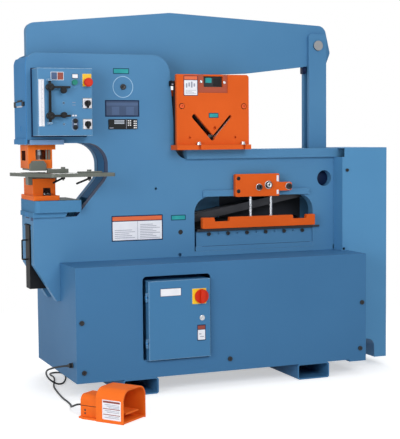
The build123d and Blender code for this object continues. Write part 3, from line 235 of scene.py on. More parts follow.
def material(name, tone, other=None, edge=None, rough=0.4, rough_other=None, metallic=0.0, coat=0.0,
             coat_rough=0.1, radius=0.0015, wave=160.0, grain=900.0, grain_part=0.3, relief=0.00004,
             patch=3.0, lines=None, edge_part=0.5, specular=0.5, fields=()):
    """A finish: two tones that drift, edges lightened by wear and by a painted edge highlight, its own roughness
    range and fine relief.

    fields are boxes on the machine (lowest corner, highest corner, tone) with a tone of their own: real paint on the
    cover's bolt heads, and elsewhere painted shade in throats, recesses and hollows and on shaded side faces.
    """
    made = bpy.data.materials.new(name)
    made.use_nodes = True
    tree = made.node_tree
    shader = tree.nodes["Principled BSDF"]
    for title, value in (("Metallic", metallic), ("Coat Weight", coat), ("Coat Roughness", coat_rough),
                         ("Specular IOR Level", specular)):
        shader.inputs[title].default_value = value
    tones = finish_group(tree, CLOUDY, Tone=linear(tone), Other_tone=linear(other or tone), Scale=patch)
    colour = tones.outputs["Colour"]
    rim = finish_group(tree, EDGE, Radius=radius)
    # Edge tone, mixed in on the edges where the noise lets it: partly wear, and on the blue enamels and the
    # stripper's orange a painted highlight on the rounded edges.
    if edge:
        edge_wear_and_highlight = math_node(tree, "MULTIPLY", rim.outputs["Mask"], noise(tree, 60.0, 2.0))
        edge_wear_and_highlight_amount = math_node(tree, "MULTIPLY", edge_wear_and_highlight, edge_part * 2, clamp=True)
        colour = mix_colour(tree, edge_wear_and_highlight_amount, colour, linear(edge))
    if lines:
        ground = finish_group(tree, GROUND, Stretch=lines)
        shade = math_node(tree, "MULTIPLY_ADD", ground.outputs["Lines"], 0.5, 0.15, clamp=True)
        darker = tuple(c * 0.6 for c in linear(tone)[:3]) + (1.0,)
        colour = mix_colour(tree, shade, darker, colour)
    for corner_low, corner_high, tone_there in fields:
        area = finish_group(tree, INSIDE, Low=tuple(at(*corner_low)), High=tuple(at(*corner_high)))
        colour = mix_colour(tree, area.outputs["Mask"], colour, linear(tone_there))
    tree.links.new(colour, shader.inputs["Base Color"])
    high = rough if rough_other is None else rough_other
    span = math_node(tree, "MULTIPLY_ADD", tones.outputs["Mask"], high - rough, rough)
    tree.links.new(span, shader.inputs["Roughness"])
    skin = finish_group(tree, RELIEF, Wave_scale=wave, Grain_scale=grain, Grain_part=grain_part)
    bump = add_node(tree, "ShaderNodeBump", Strength=1.0, Distance=relief, Height=skin.outputs["Height"],
                    Normal=rim.outputs["Normal"])
    tree.links.new(bump.outputs["Normal"], shader.inputs["Normal"])
    return made


# Finishes
# The pale edge tones of the blue enamels below are painted highlights on their edges.
ENAMEL = dict(tone="4E84AE", other="467BA6", edge="84B2D4", rough=0.56, rough_other=0.66, coat=0.03,
              coat_rough=0.2, radius=0.002, wave=110.0, relief=0.00005, patch=1.6, specular=0.25)
SHEET = dict(radius=0.0015, wave=60.0, relief=0.00006, patch=1.2, specular=0.25)
SHADED = dict(rough=0.6, rough_other=0.7, patch=2.0)
TOOLING = dict(edge="FF9150", rough=0.55, rough_other=0.64, wave=140.0, relief=0.00005, patch=4.0, specular=0.2)
BLACKED = dict(tone="17191C", other="222428", edge="5A5E63", rough=0.45, rough_other=0.58, patch=9.0,
               radius=0.0008)
BUTTON = dict(rough=0.36, rough_other=0.46, specular=0.25, radius=0.001, patch=25.0)
PRINT = dict(rough=0.5, radius=0.0003)
SLATE = dict(rough=0.45, specular=0.2, radius=0.0003, patch=12.0)
THROAT_SHADE = "12305A"
BLUE = material("machine_blue_enamel", **ENAMEL)
# Front plate field: dark navy painted shade on the plate's cut faces in the throat.
BLUE_FRONT = material("front_plate_blue_enamel", **ENAMEL,
                      fields=[((-470, -108.5, 790), (-60, -55, 1144), "1B3C69")])
# Bolster field: dark painted shade on its top face, under the table.
BLUE_BOLSTER = material("bolster_blue_enamel", **dict(ENAMEL, rough=0.7, rough_other=0.8, specular=0.1, coat=0.0),
                        fields=[((-440, -150, 883), (-215, 142, 886), "23393C")])
# Rear plate fields, all painted shade: near black behind the shear arm, dark at the window's lower left, and a
# darker blue on its cut faces in the throat.
BLUE_REAR = material("rear_plate_blue_enamel", **ENAMEL, fields=[
    ((556, 40, 600), (1010, 100, 900), "20262F"), ((225, 40, 655), (340, 100, 772), "1C2B4A"),
    ((-470, 55, 790), (-60, 108.5, 1144), "3C78A3")])
# Control box: the pale edge tone over a 5 mm radius is a painted highlight on its rounded edges.
BLUE_BOX = material("control_box_blue_enamel", **dict(ENAMEL, radius=0.005, edge="C3DAEA", edge_part=1.0))
# Base sheet metal and fork tubes: the machine blue darkened as painted shade, the base being lit less from above;
# the pale edge tone is a painted highlight.
BLUE_SHEET = material("sheet_metal_blue_enamel", "3C719D", "366994", edge="6C9FC6", rough=0.6, rough_other=0.7,
                      coat=0.05, coat_rough=0.25, **SHEET)
BLUE_CABINET = material("cabinet_blue_enamel", "5590BD", "4D88B5", edge="86B4D6", rough=0.42, rough_other=0.54,
                        **SHEET)
BLUE_STRIP = material("light_blue_enamel", "7399C4", "6B91BC", edge="A9C6E2", rough=0.4, radius=0.003, specular=0.3)
# Door: the machine blue darkened as painted shade, as on the base, and its pale edge tone a painted highlight over a
# wide radius.
BLUE_DOOR = material("door_blue_enamel", "3F77A3", "38709C", edge="A6C6DE", rough=0.4, rough_other=0.5, coat=0.05,
                     coat_rough=0.25, edge_part=1.0, **dict(SHEET, radius=0.004))
BLUE_DEEP = material("shaded_blue_enamel", "4C88BC", "447FB3", edge="74A6D0", specular=0.06, **SHADED)
BLUE_LINER = material("throat_blue_enamel", "35709F", "2E6694", specular=0.05, **SHADED, fields=[
    ((-460, -61, 700), (300, -50, 1250), THROAT_SHADE), ((-460, 50, 700), (300, 61, 1250), THROAT_SHADE)])
ORANGE = material("tooling_orange_enamel", "DC5C16", "D15511", **TOOLING)
# Stripper housing: the orange made lighter as painted light on the brightly lit punch station, a painted highlight
# in its pale edge tone, and painted shade in the dark field inside the housing.
ORANGE_STRIPPER = material("stripper_orange_enamel", "EC701C", "E26617", radius=0.004, edge_part=0.8,
                           **dict(TOOLING, edge="FFB060", rough=0.5, rough_other=0.6, patch=6.0),
                           fields=[((-448, -37.8, 1031), (-344, 57.8, 1112), "4A1D10")])
# Recess orange: the tooling orange darkened as painted shade on the floor of the cover's recess.
ORANGE_DARK = material("orange_in_recess", "A9441F", "983D1E", rough=0.5, patch=6.0)
# Shear body field: dark brown painted shade on its left side faces.
ORANGE_BODY = material("shear_body_orange_enamel", "DC5C16", "D15511", **TOOLING,
                       fields=[((230, -149.2, 1131.4), (630, -40, 1470), "2B211F")])
# Die holder: the orange made lighter as painted light on the punch station, and painted shade in the near-black
# field inside its front arch.
ORANGE_DIE = material("die_holder_orange_enamel", "E86C1C", "DD6317", **TOOLING,
                      fields=[((-383, -79.6, 905), (-347, -58, 941), "2A1712")])
CAST_ORANGE = material("foot_switch_casting_orange", "F27320", "E8691B", edge="FF9A55", rough=0.58,
                       rough_other=0.68, wave=260.0, relief=0.00012, patch=9.0, specular=0.2)
BLACK_PAINT = material("satin_black_paint", "0D0F12", "15171A", edge="3A3E43", rough=0.5, rough_other=0.62,
                       patch=5.0, specular=0.15)
TABLE = material("oiled_grey_plate", "636860", "747A72", edge="C9CDC6", rough=0.38, rough_other=0.52,
                 metallic=0.2, wave=60.0, patch=7.0, lines=(5.0, 260.0, 5.0), radius=0.003, edge_part=0.9)
STEEL = material("ground_steel", "A7A9AC", "8F9296", edge="DADCDF", rough=0.28, rough_other=0.42, metallic=1.0,
                 patch=12.0, lines=(500.0, 500.0, 8.0), radius=0.0008)
DARK_STEEL = material("oil_blacked_steel", metallic=0.4, **BLACKED)
SCREW_STEEL = material("oil_blacked_screws", metallic=0.3, **BLACKED, fields=[
    ((257, -190, 1300), (287, -150, 1330), "D9571C"), ((577, -190, 1300), (607, -150, 1330), "D9571C")])
BLADE = material("tool_steel_blade", "3A3C41", "4C4E54", edge="A9ADB2", rough=0.3, rough_other=0.46, metallic=0.8,
                 patch=5.0, lines=(6.0, 400.0, 90.0), radius=0.001)
BRIGHT = material("bright_zinc", "C9CCD0", "AEB2B7", edge="F2F4F6", rough=0.2, rough_other=0.32, metallic=1.0,
                  patch=30.0, radius=0.0006)
BLACK_PLASTIC = material("black_moulded_knob", "0C0E11", "131518", edge="33373C", rough=0.4, rough_other=0.52,
                         specular=0.2, wave=500.0, relief=0.00005, radius=0.001, patch=20.0)
RED = material("red_moulded_button", "D02C0A", "C22607", edge="E8522A", **BUTTON)
GREEN = material("green_moulded_button", "10806F", "0C6F62", edge="3FA596", **BUTTON)
YELLOW = material("yellow_plate_print", "F0C41A", "E6B910", rough=0.45, patch=20.0, radius=0.0005)
WHITE = material("white_label_print", "E9EAF0", "DEE0E8", patch=20.0, **PRINT)
GREY_PRINT = material("grey_print", "9498A8", "878C9C", **PRINT)
ORANGE_PRINT = material("orange_print", "DD6634", "D05C2E", **PRINT)
NAVY_PRINT = material("navy_print", "10203F", "162748", specular=0.15, **PRINT)
SLATE_PRINT = material("slate_window_print", "3A4C6B", "425573", **SLATE)
SLATE_LIGHT = material("slate_window_band", "455A7C", "4D6285", **SLATE)
TEAL_PRINT = material("teal_print", "1F8F96", "37A5A6", specular=0.2, patch=18.0, **PRINT)
TEAL_RIM = material("dark_teal_print", "0A3F58", "0E4A62", specular=0.2, **PRINT)
DISPLAY = material("grey_display", "9EA6B3", "AEB6C1", rough=0.3, coat=0.3, radius=0.0003, patch=18.0)
BROWN_PRINT = material("red_brown_print", "8C3A2A", "7E3325", **PRINT)
RING_BLUE = material("pale_blue_ring", "9CC0DC", "8DB4D3", rough=0.35, radius=0.0005)
RUBBER = material("cord_rubber", "14171A", "1D2124", edge="3A3E42", rough=0.5, rough_other=0.62, wave=700.0,
                  relief=0.00006, radius=0.0006, patch=15.0)

FINISH = {
    BLUE: ["rocker_beam", "link_bars", "main_pivot_pin", "lower_blade_holder", "deck_plate"],
    BLUE_FRONT: ["frame_front_plate"],
    BLUE_BOLSTER: ["bolster_block"],
    BLUE_STRIP: ["ram_guide"],
    BLUE_CABINET: ["end_cabinet"],
    BLUE_REAR: ["frame_rear_plate"],
    BLUE_BOX: ["control_box"],
    BLUE_SHEET: ["base_cabinet", "fork_tubes"],
    BLUE_DOOR: ["enclosure_door"],
    BLUE_DEEP: ["head_end_cover", "electrical_enclosure"],
    BLUE_LINER: ["throat_liner"],
    ORANGE_STRIPPER: ["stripper_housing"],
    ORANGE: ["angle_shear_cover", "hold_down_block", "hold_down_bar"],
    ORANGE_BODY: ["angle_shear_body"],
    ORANGE_DIE: ["die_holder"],
    CAST_ORANGE: ["pedal_base", "pedal_hood", "pedal_treadle"],
    BLACK_PAINT: ["slug_bin"],
    TABLE: ["gauging_table", "table_fence_rear", "table_fence_front", "stripper_plate"],
    STEEL: ["die", "punch", "punch_nut", "link_pin_upper", "link_pin_lower"],
    SCREW_STEEL: ["cap_screws"],
    DARK_STEEL: ["shear_pivot_pin", "cylinder_body", "angle_blade_carrier"],
    BLADE: ["shear_arm", "upper_blade", "lower_blade", "angle_lower_blades"],
    BRIGHT: ["punch_ram", "cylinder_rod", "jack_screws", "clamp_screws", "door_latch"],
    BLACK_PLASTIC: ["fence_lever_rear", "fence_lever_front", "trip_arm_upper", "trip_arm_lower", "selector_upper",
                    "selector_lower", "cable_glands"],
    RED: ["estop_button", "disconnect_handle"],
    GREEN: ["start_button"],
    RUBBER: ["pedal_cord"],
}
for finish, names in FINISH.items():
    for name in names:
        node = nodes[name]
        if not node.data.materials:
            node.data.materials.append(finish)
        for index in range(len(node.data.materials)):
            node.data.materials[index] = finish


# Mesh helpers
def piece(name, mesh_data, body, finishes):
    """Links a finished mesh as a piece that rides on a body."""
    for finish in finishes:
        mesh_data.materials.append(finish)
    made = linked(name, mesh_data)
    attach(made, body)
    return made


def from_bmesh(name, shape):
    bmesh.ops.recalc_face_normals(shape, faces=shape.faces)
    data = bpy.data.meshes.new(name)
    shape.to_mesh(data)
    shape.free()
    return data


def rounded(x0, x1, z0, z1, radius, steps=5):
    """Corner points of a rectangle with rounded corners, in order."""
    radius = min(radius, (x1 - x0) / 2.01, (z1 - z0) / 2.01)
    corners = [(x1 - radius, z1 - radius, 0), (x0 + radius, z1 - radius, 90), (x0 + radius, z0 + radius, 180),
               (x1 - radius, z0 + radius, 270)]
    points = []
    for cx, cz, start in corners:
        for step in range(steps + 1):
            angle = math.radians(start + 90 * step / steps)
            points.append((cx + radius * math.cos(angle), cz + radius * math.sin(angle)))
    return points


def built(name, shape, body, slot, *finishes):
    """A piece made from a bmesh."""
    return piece(name, from_bmesh(name, shape), body, finishes)


def close_rings(shape, rings, index=0):
    """Faces between rings of equally many vertices, and over the first and the last of them."""
    made = [shape.faces.new(rings[-1]), shape.faces.new(rings[0][::-1])]
    for low, high in zip(rings, rings[1:]):
        for i in range(len(low)):
            j = (i + 1) % len(low)
            made.append(shape.faces.new((low[i], low[j], high[j], high[i])))
    for face in made:
        face.material_index = index


def slab(shape, points, depth, thick, index, place=at, soft=0.25):
    """Adds a thin front-facing slab to a bmesh: its outline, its back depth and its thickness."""
    centre = [sum(p[i] for p in points) / len(points) for i in (0, 1)]
    reach = max(max(abs(p[0] - centre[0]) for p in points), 0.001)
    inset = 1 - min(0.5, soft * thick / reach)
    close_rings(shape, [[shape.verts.new(place(centre[0] + (x - centre[0]) * scale, depth - level,
                                               centre[1] + (z - centre[1]) * scale)) for x, z in points]
                        for scale, level in ((1.0, 0.0), (1.0, thick * 0.7), (inset, thick))], index)


def label(name, body, slot, depth, parts, place=at):
    """A stack of thin plates on a front face: (x0, x1, z0, z1, corner radius, lift, thickness, finish)."""
    shape = bmesh.new()
    finishes = []
    for x0, x1, z0, z1, radius, lift, thick, finish in parts:
        if finish not in finishes:
            finishes.append(finish)
        slab(shape, rounded(x0, x1, z0, z1, radius), depth - lift, thick, finishes.index(finish), place)
    return built(name, shape, body, slot, *finishes)


def lathe(shape, start, axis, profile, sides=32, index=0):
    """Turned form: profile is (distance along the axis, radius) in millimetres from start."""
    along = Vector(axis).normalized()
    across = along.orthogonal().normalized()
    other = along.cross(across)
    rings = []
    for distance, radius in profile:
        centre = start + along * distance * MM
        if radius <= 0:
            rings.append([shape.verts.new(centre)])
            continue
        rings.append([shape.verts.new(centre + (across * math.cos(a) + other * math.sin(a)) * radius * MM)
                      for a in (2 * math.pi * i / sides for i in range(sides))])
    for low, high in zip(rings, rings[1:]):
        if len(low) == 1 and len(high) == 1:
            continue
        for i in range(sides):
            j = (i + 1) % sides
            if len(low) == 1:
                corners = (low[0], high[j], high[i])
            elif len(high) == 1:
                corners = (low[i], low[j], high[0])
            else:
                corners = (low[i], low[j], high[j], high[i])
            face = shape.faces.new(corners)
            face.material_index = index
            face.smooth = True


def turned(name, body, slot, finish, start, profile, axis=FRONT, sides=28):
    """One turned piece."""
    shape = bmesh.new()
    lathe(shape, start, axis, profile, sides)
    return built(name, shape, body, slot, finish)


# Repeats made by geometry nodes
def geometry_tree(name, inputs):
    """Empty geometry node tree with a mesh, its named inputs and a finish to put on what it makes."""
    tree = bpy.data.node_groups.new(name, "GeometryNodeTree")
    tree.interface.new_socket(name="Mesh", in_out="INPUT", socket_type="NodeSocketGeometry")
    for title, kind, default in inputs:
        socket = tree.interface.new_socket(name=title, in_out="INPUT", socket_type=kind)
        if default is not None:
            socket.default_value = default
    tree.interface.new_socket(name="Finish", in_out="INPUT", socket_type="NodeSocketMaterial")
    tree.interface.new_socket(name="Geometry", in_out="OUTPUT", socket_type="NodeSocketGeometry")
    return tree, tree.nodes.new("NodeGroupInput").outputs


def close_tree(tree, entry, made):
    """Turns instances into real faces, paints them and ends the tree."""
    real = add_node(tree, "GeometryNodeRealizeInstances", Geometry=made)
    paint = add_node(tree, "GeometryNodeSetMaterial", Geometry=real.outputs["Geometry"], Material=entry["Finish"])
    add_node(tree, "NodeGroupOutput", Geometry=paint.outputs["Geometry"])
    return tree


def line_of_points(tree, **sockets):
    line = add_node(tree, "GeometryNodeMeshLine", **sockets)
    line.mode = "OFFSET"
    line.count_mode = "TOTAL"
    return line.outputs["Mesh"]


def on_points(tree, points, instance):
    return add_node(tree, "GeometryNodeInstanceOnPoints", Points=points, Instance=instance)


def build_rows_tree():
    """One small form in columns and rows; every so many of them may be longer along X."""
    tree, entry = geometry_tree("rows_of_one_form", [
        ("Start", VECTOR, (0.0, 0.0, 0.0)), ("Columns", "NodeSocketInt", 1),
        ("Column step", VECTOR, (0.01, 0.0, 0.0)), ("Rows", "NodeSocketInt", 1),
        ("Row step", VECTOR, (0.0, 0.0, 0.01)), ("Long every", "NodeSocketInt", 1),
        ("Long size", FLOAT, 1.0)])
    across = line_of_points(tree, Count=entry["Columns"], Start_Location=entry["Start"],
                            Offset=entry["Column step"])
    up = line_of_points(tree, Count=entry["Rows"], Offset=entry["Row step"])
    grid = add_node(tree, "GeometryNodeRealizeInstances", Geometry=on_points(tree, across, up).outputs["Instances"])
    placed = on_points(tree, grid.outputs["Geometry"], entry["Mesh"])
    index = tree.nodes.new("GeometryNodeInputIndex")
    place_in_run = math_node(tree, "MODULO", index.outputs[0], entry["Long every"])
    is_long = math_node(tree, "LESS_THAN", place_in_run, 0.5)
    extra = math_node(tree, "SUBTRACT", entry["Long size"], 1.0)
    length = math_node(tree, "ADD", math_node(tree, "MULTIPLY", is_long, extra), 1.0)
    size = add_node(tree, "ShaderNodeCombineXYZ", X=length, Y=1.0, Z=1.0)
    tree.links.new(size.outputs[0], placed.inputs["Scale"])
    return close_tree(tree, entry, placed.outputs["Instances"])


def build_spots_tree():
    """One turned form on each point of a mesh, scaled by the point's own size."""
    tree, entry = geometry_tree("form_on_spots", [("Form", "NodeSocketObject", None)])
    form = add_node(tree, "GeometryNodeObjectInfo", Object=entry["Form"])
    placed = on_points(tree, entry["Mesh"], form.outputs["Geometry"])
    own = tree.nodes.new("GeometryNodeInputNamedAttribute")
    own.data_type = "FLOAT"
    own.inputs["Name"].default_value = "size"
    tree.links.new(own.outputs["Attribute"], placed.inputs["Scale"])
    return close_tree(tree, entry, placed.outputs["Instances"])


def build_thread_tree():
    """Threaded rod on each point of a mesh: a plain core and a helical ridge round it."""
    tree, entry = geometry_tree("threaded_rods", [
        ("Length", FLOAT, 0.1), ("Turns", FLOAT, 30.0), ("Core", FLOAT, 0.007),
        ("Ridge", FLOAT, 0.001)])
    helix = add_node(tree, "GeometryNodeCurveSpiral", Resolution=20, Rotations=entry["Turns"],
                     Start_Radius=entry["Core"], End_Radius=entry["Core"], Height=entry["Length"])
    profile = add_node(tree, "GeometryNodeCurvePrimitiveCircle", Resolution=6, Radius=entry["Ridge"])
    ridge = add_node(tree, "GeometryNodeCurveToMesh", Curve=helix.outputs["Curve"],
                     Profile_Curve=profile.outputs["Curve"], Fill_Caps=True)
    core = add_node(tree, "GeometryNodeMeshCylinder", Vertices=28, Radius=entry["Core"], Depth=entry["Length"])
    lift = add_node(tree, "ShaderNodeCombineXYZ", Z=math_node(tree, "MULTIPLY", entry["Length"], 0.5))
    raised = add_node(tree, "GeometryNodeTransform", Geometry=core.outputs["Mesh"], Translation=lift.outputs[0])
    both = tree.nodes.new("GeometryNodeJoinGeometry")
    tree.links.new(ridge.outputs["Mesh"], both.inputs["Geometry"])
    tree.links.new(raised.outputs["Geometry"], both.inputs["Geometry"])
    placed = on_points(tree, entry["Mesh"], both.outputs["Geometry"])
    return close_tree(tree, entry, placed.outputs["Instances"])


ROWS = build_rows_tree()
SPOTS = build_spots_tree()
THREADS = build_thread_tree()


def grown(name, base, tree, finish, **values):
    """Runs a geometry node tree on a mesh and gives the plain mesh that it makes."""
    maker = linked(name + "_maker", base)
    modifier = maker.modifiers.new("repeat", "NODES")
    modifier.node_group = tree
    sockets = {item.name: item.identifier for item in tree.interface.items_tree
               if item.item_type == "SOCKET" and item.in_out == "INPUT"}
    modifier[sockets["Finish"]] = finish
    for title, value in values.items():
        modifier[sockets[title.replace("_", " ")]] = value
    bpy.context.view_layer.update()
    graph = bpy.context.evaluated_depsgraph_get()
    made = bpy.data.meshes.new_from_object(maker.evaluated_get(graph), depsgraph=graph)
    maker.modifiers.remove(modifier)
    bpy.data.objects.remove(maker)
    made.name = name
    return made


def near(x, y, z):
    """A place in a small form's own measure, in metres."""
    return Vector((x, y, z)) * MM


def spots(name, body, finish, profile, places, axis=FRONT, sides=28):
    """A turned form, given by its profile, on each place: (x, y, z, size)."""
    shape = bmesh.new()
    lathe(shape, Vector((0, 0, 0)), axis, profile, sides)
    form = linked(name + "_form", from_bmesh(name + "_form", shape))
    points = bpy.data.meshes.new(name + "_spots")
    points.from_pydata([at(x, y, z) if not isinstance(x, Vector) else x for x, y, z, size in places], [], [])
    sizes = points.attributes.new("size", "FLOAT", "POINT")
    for value, (x, y, z, size) in zip(sizes.data, places):
        value.value = size
    made = piece(name, grown(name, points, SPOTS, finish, Form=form), body, [])
    bpy.data.objects.remove(form)
    return made


def joined(name, body, slot, meshes):
    """One piece from several plain meshes of one finish."""
    shape = bmesh.new()
    for data in meshes:
        shape.from_mesh(data)
    return built(name, shape, body, slot, meshes[0].materials[0])


# Foot switch cord
pedal_turn = math.atan2(0.608, 0.795)
PEDAL_RIGHT = Vector((math.cos(pedal_turn), math.sin(pedal_turn), 0.0))
PEDAL_BACK = Vector((-math.sin(pedal_turn), math.cos(pedal_turn), 0.0))


def pedal_at(across, back, up):
    """A place on the foot switch: across and back from the middle of its front edge, and up."""
    return at(-200.0, -813.5, 0.0) + (PEDAL_RIGHT * across + PEDAL_BACK * back) * MM + Vector((0, 0, up * MM))


LIE = CORD_RADIUS
cord_points = [
    (-336, -305, 150), (-370, -305, 150), (-402, -268, 138), (-412, -206, 118), (-400, -140, 92),
    (-380, -80, 62), (-352, -36, 32), (-318, -22, 9), (-288, -6, LIE), (-262, 44, LIE), (-240, 104, LIE),
    (-222, 172, LIE), (-216, 236, LIE), (-234, 267, LIE), (-270, 267, LIE), (-288, 236, LIE), (-282, 172, LIE),
    (-296, 102, LIE), (-320, 26, LIE), (-342, -52, LIE), (-352, -136, LIE), (-360, -222, LIE),
    (-366, -306, LIE), (-364, -380, LIE), (-368, -446, LIE), (-386, -508, 10), (-390, -556, 26)]
route = [at(*point) for point in cord_points]
route.append(pedal_at(0, 253 + 34, 40.0))
route.append(pedal_at(0, 253, 40.0))
cord_data = bpy.data.curves.new("foot_switch_cord", "CURVE")
cord_data.dimensions = "3D"
cord_data.bevel_depth = CORD_RADIUS * MM
cord_data.bevel_resolution = 5
cord_data.resolution_u = 10
cord_data.use_fill_caps = True
spline = cord_data.splines.new("NURBS")
spline.points.add(len(route) - 1)
for point, where in zip(spline.points, route):
    point.co = (*where, 1.0)
spline.order_u = 3
spline.use_endpoint_u = True
cord_data.materials.append(RUBBER)
foot_cord = linked("foot_switch_cord", cord_data)
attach(foot_cord, "machine")
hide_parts("pedal_cord")


# Prints and plates on the frame
def teal_tag(name, slot, face, x0, x1, z0, z1):
    label(name, "machine", slot, face, [
        (x0, x1, z0, z1, 3, 0, 0.5, TEAL_RIM), (x0 + 4, x1 - 4, z0 + 4, z1 - 4, 2, 0.4, 0.4, TEAL_PRINT)])


def build_frame_plates():
    face = PLATE_FACE
    teal_tag("teal_tag_top", "blue_paint", face, -48, 31, 1465, 1492)
    label("name_window", "machine", "blue_paint", face, [
        (-89, 79, 1266, 1344, 2, 0, 0.8, NAVY_PRINT), (-83, 73, 1272, 1338, 1, 0.7, 0.4, SLATE_PRINT),
        (-83, 73, 1318, 1331, 0.5, 1.0, 0.3, SLATE_LIGHT), (-56, -20, 1275, 1313, 0.5, 1.0, 0.3, SLATE_LIGHT),
        (14, 52, 1275, 1313, 0.5, 1.0, 0.3, SLATE_LIGHT)])
    label("readout", "machine", "black_plastic", face, [
        (-74, 68, 1208, 1255, 3, 0, 5.0, BLACK_PLASTIC), (-46, 3, 1243, 1250, 1, 4.8, 0.5, DISPLAY),
        (-46, 3, 1233, 1240, 1, 4.8, 0.5, DISPLAY), (12, 14, 1210, 1253, 0.5, 4.8, 0.4, GREY_PRINT),
        (-70, -50, 1212, 1216, 1, 4.8, 0.4, GREY_PRINT)])
    label("warning_place", "machine", "blue_paint", face, [
        (-65, 191, 681, 802, 2, 0, 0.4, NAVY_PRINT), (-60, 186, 778, 797, 1, 0.3, 0.3, ORANGE_PRINT),
        (-60, 186, 686, 774, 1, 0.3, 0.3, WHITE), (63, 65, 686, 774, 0.2, 0.5, 0.3, GREY_PRINT)] +
        [(-50, 50 - 14 * (i % 3), 696 + 9 * i, 698.5 + 9 * i, 0.2, 0.5, 0.25, GREY_PRINT)
         for i in range(5)] +
        [(76, 176 - 18 * (i % 3), 692 + 8 * i, 694.5 + 8 * i, 0.2, 0.5, 0.25, GREY_PRINT) for i in range(9)])
    teal_tag("teal_tag_low", "blue_paint", face, 233, 309, 771, 797)


def build_keys():
    """Light keys of the readout: one key in columns and rows."""
    meshes = []
    for column, row, columns, rows, step in ((20, 1224, 2, 3, 9.7), (49, 1212, 2, 4, 8.5)):
        shape = bmesh.new()
        slab(shape, rounded(0, 6.5, 0, 5.5, 1.2, 3), 0, 1.1, 0, near)
        meshes.append(grown("key_block", from_bmesh("one_key", shape), ROWS, DISPLAY, Start=at(column, -114.8, row),
                            Columns=columns, Column_step=near(step, 0, 0), Rows=rows, Row_step=near(0, 0, 10.2)))
    joined("readout_keys", "machine", "black_plastic", meshes)


build_frame_plates()
build_keys()


# Control panel
def build_panel():
    """Stickers, button plates and marks of the control box."""
    face = PANEL_FACE
    label("colour_sticker", "machine", "blue_paint", face, [
        (-372, -312, 1428, 1465, 1, 0, 0.3, WHITE), (-370, -343, 1430, 1463, 0.5, 0.25, 0.25, SLATE_LIGHT),
        (-341, -314, 1430, 1463, 0.5, 0.25, 0.25, BROWN_PRINT)])
    # Navy band behind the box's left, top and bottom edges: painted shadow of the box on the plate.
    label("box_gasket", "machine", "black_plastic", -110.2, [
        (-440, -434, 1174, 1487, 2, 0, 4.0, NAVY_PRINT), (-438, -180, 1482, 1487, 1, 0, 4.0, NAVY_PRINT),
        (-438, -180, 1174, 1179, 1, 0, 4.0, NAVY_PRINT)])
    label("start_legend", "machine", "black_plastic", face, [
        (-274, -245, 1436, 1457, 2, 0, 1.0, BLACK_PLASTIC), (-272, -247, 1438, 1455, 1, 0.9, 0.3, WHITE)])
    label("estop_plate", "machine", "blue_paint", face - 2.0, [
        (-225.2, -183.8, 1401, 1457.2, 2, -1.0, 1.3, YELLOW)])
    for z in (1325, 1231):
        label(f"selector_plate_{z}", "machine", "blue_paint", face - 2.0, [
            (-226.3, -181.7, z - 23.3, z + 23.3, 2, -0.6, 0.8, BLACK_PLASTIC),
            (-224.5, -183.5, z - 21.5, z + 21.5, 1.5, 0.1, 0.3, WHITE),
            (-219, -214, z + 13, z + 15, 0.5, 0.3, 0.2, BROWN_PRINT),
            (-194, -189, z + 13, z + 15, 0.5, 0.3, 0.2, GREY_PRINT)])
    label("panel_marks", "machine", "blue_paint", face, [
        (-274, -259, 1328, 1330, 0.5, 0, 0.3, GREY_PRINT), (-274, -259, 1316, 1318, 0.5, 0, 0.3, GREY_PRINT),
        (-276, -266, 1266, 1273, 0.5, 0, 0.3, WHITE), (-263, -254, 1266, 1273, 0.5, 0, 0.3, WHITE)])


def build_scale():
    """Stroke scale: a white strip with its ticks."""
    label("stroke_scale", "machine", "blue_paint", -211.0, [(-428.4, -403.6, 1221.6, 1431.4, 1, -0.6, 1.3, WHITE)])
    shape = bmesh.new()
    slab(shape, [(0, -0.5), (5, -0.5), (5, 0.5), (0, 0.5)], 0, 0.15, 0, near)
    data = grown("scale_ticks", from_bmesh("one_tick", shape), ROWS, GREY_PRINT, Start=at(-418, -211.65, 1226),
                 Rows=51, Row_step=near(0, 0, 4), Long_every=5, Long_size=1.8)
    piece("scale_ticks", data, "machine", [])


def build_double_element():
    """Pair of round elements in one oval holder: dark caps in a silver surround."""
    shape = bmesh.new()
    outline = []
    for start, z in ((0.0, 1244), (math.pi, 1218)):
        for i in range(33):
            angle = start + math.pi * i / 32
            outline.append((-263 + 14 * math.cos(angle), z + 14 * math.sin(angle)))
    slab(shape, outline, -215.6, 1.4, 0)
    slab(shape, rounded(-270, -256, 1228, 1234, 1), -217.0, 1.0, 2)
    for z in (1245, 1217):
        lathe(shape, at(-263, -216.5, z), FRONT, [(0, 0), (0, 10.5), (4, 10.5), (5, 9.5), (5, 0)], 28, 1)
    built("double_element", shape, "machine", "black_plastic", SLATE_LIGHT, BLACK_PLASTIC, DISPLAY)


def build_trip_rod():
    turned("trip_rod_sleeve", "machine", "black_plastic", BLACK_PAINT, at(-381, -226, 1240.5),
           [(0, 0), (0, 6.4), (183, 6.4), (183, 0)], axis=(0, 0, 1))


def build_knob_grips():
    """Clamp discs on the trip arms' knobs."""
    disc = [(0, 0), (0, 13), (1.5, 13), (3.0, 11), (3.0, 4.5), (1.8, 3.9), (1.8, 0)]
    for body, z, tip in (("upper_trip", 1396.0, 1381.0), ("lower_trip", 1268.0, 1272.0)):
        spots(body + "_caps", body, BLACK_PLASTIC, disc,
              [(-381, -243.5, z, 1.0), (-321, -245.5, tip, 0.73)])


def build_pointers():
    """Pointers of the two selectors, which show down at rest."""
    for body, z in (("upper_selector", 1325), ("lower_selector", 1231)):
        label(body + "_pointer", body, "black_plastic", -214.0,
              [(-208.5, -199.5, z - 21, z + 4, 4, 0, 17, BLACK_PLASTIC)])


build_pointers()
build_panel()
build_scale()
build_double_element()
build_trip_rod()
build_knob_grips()


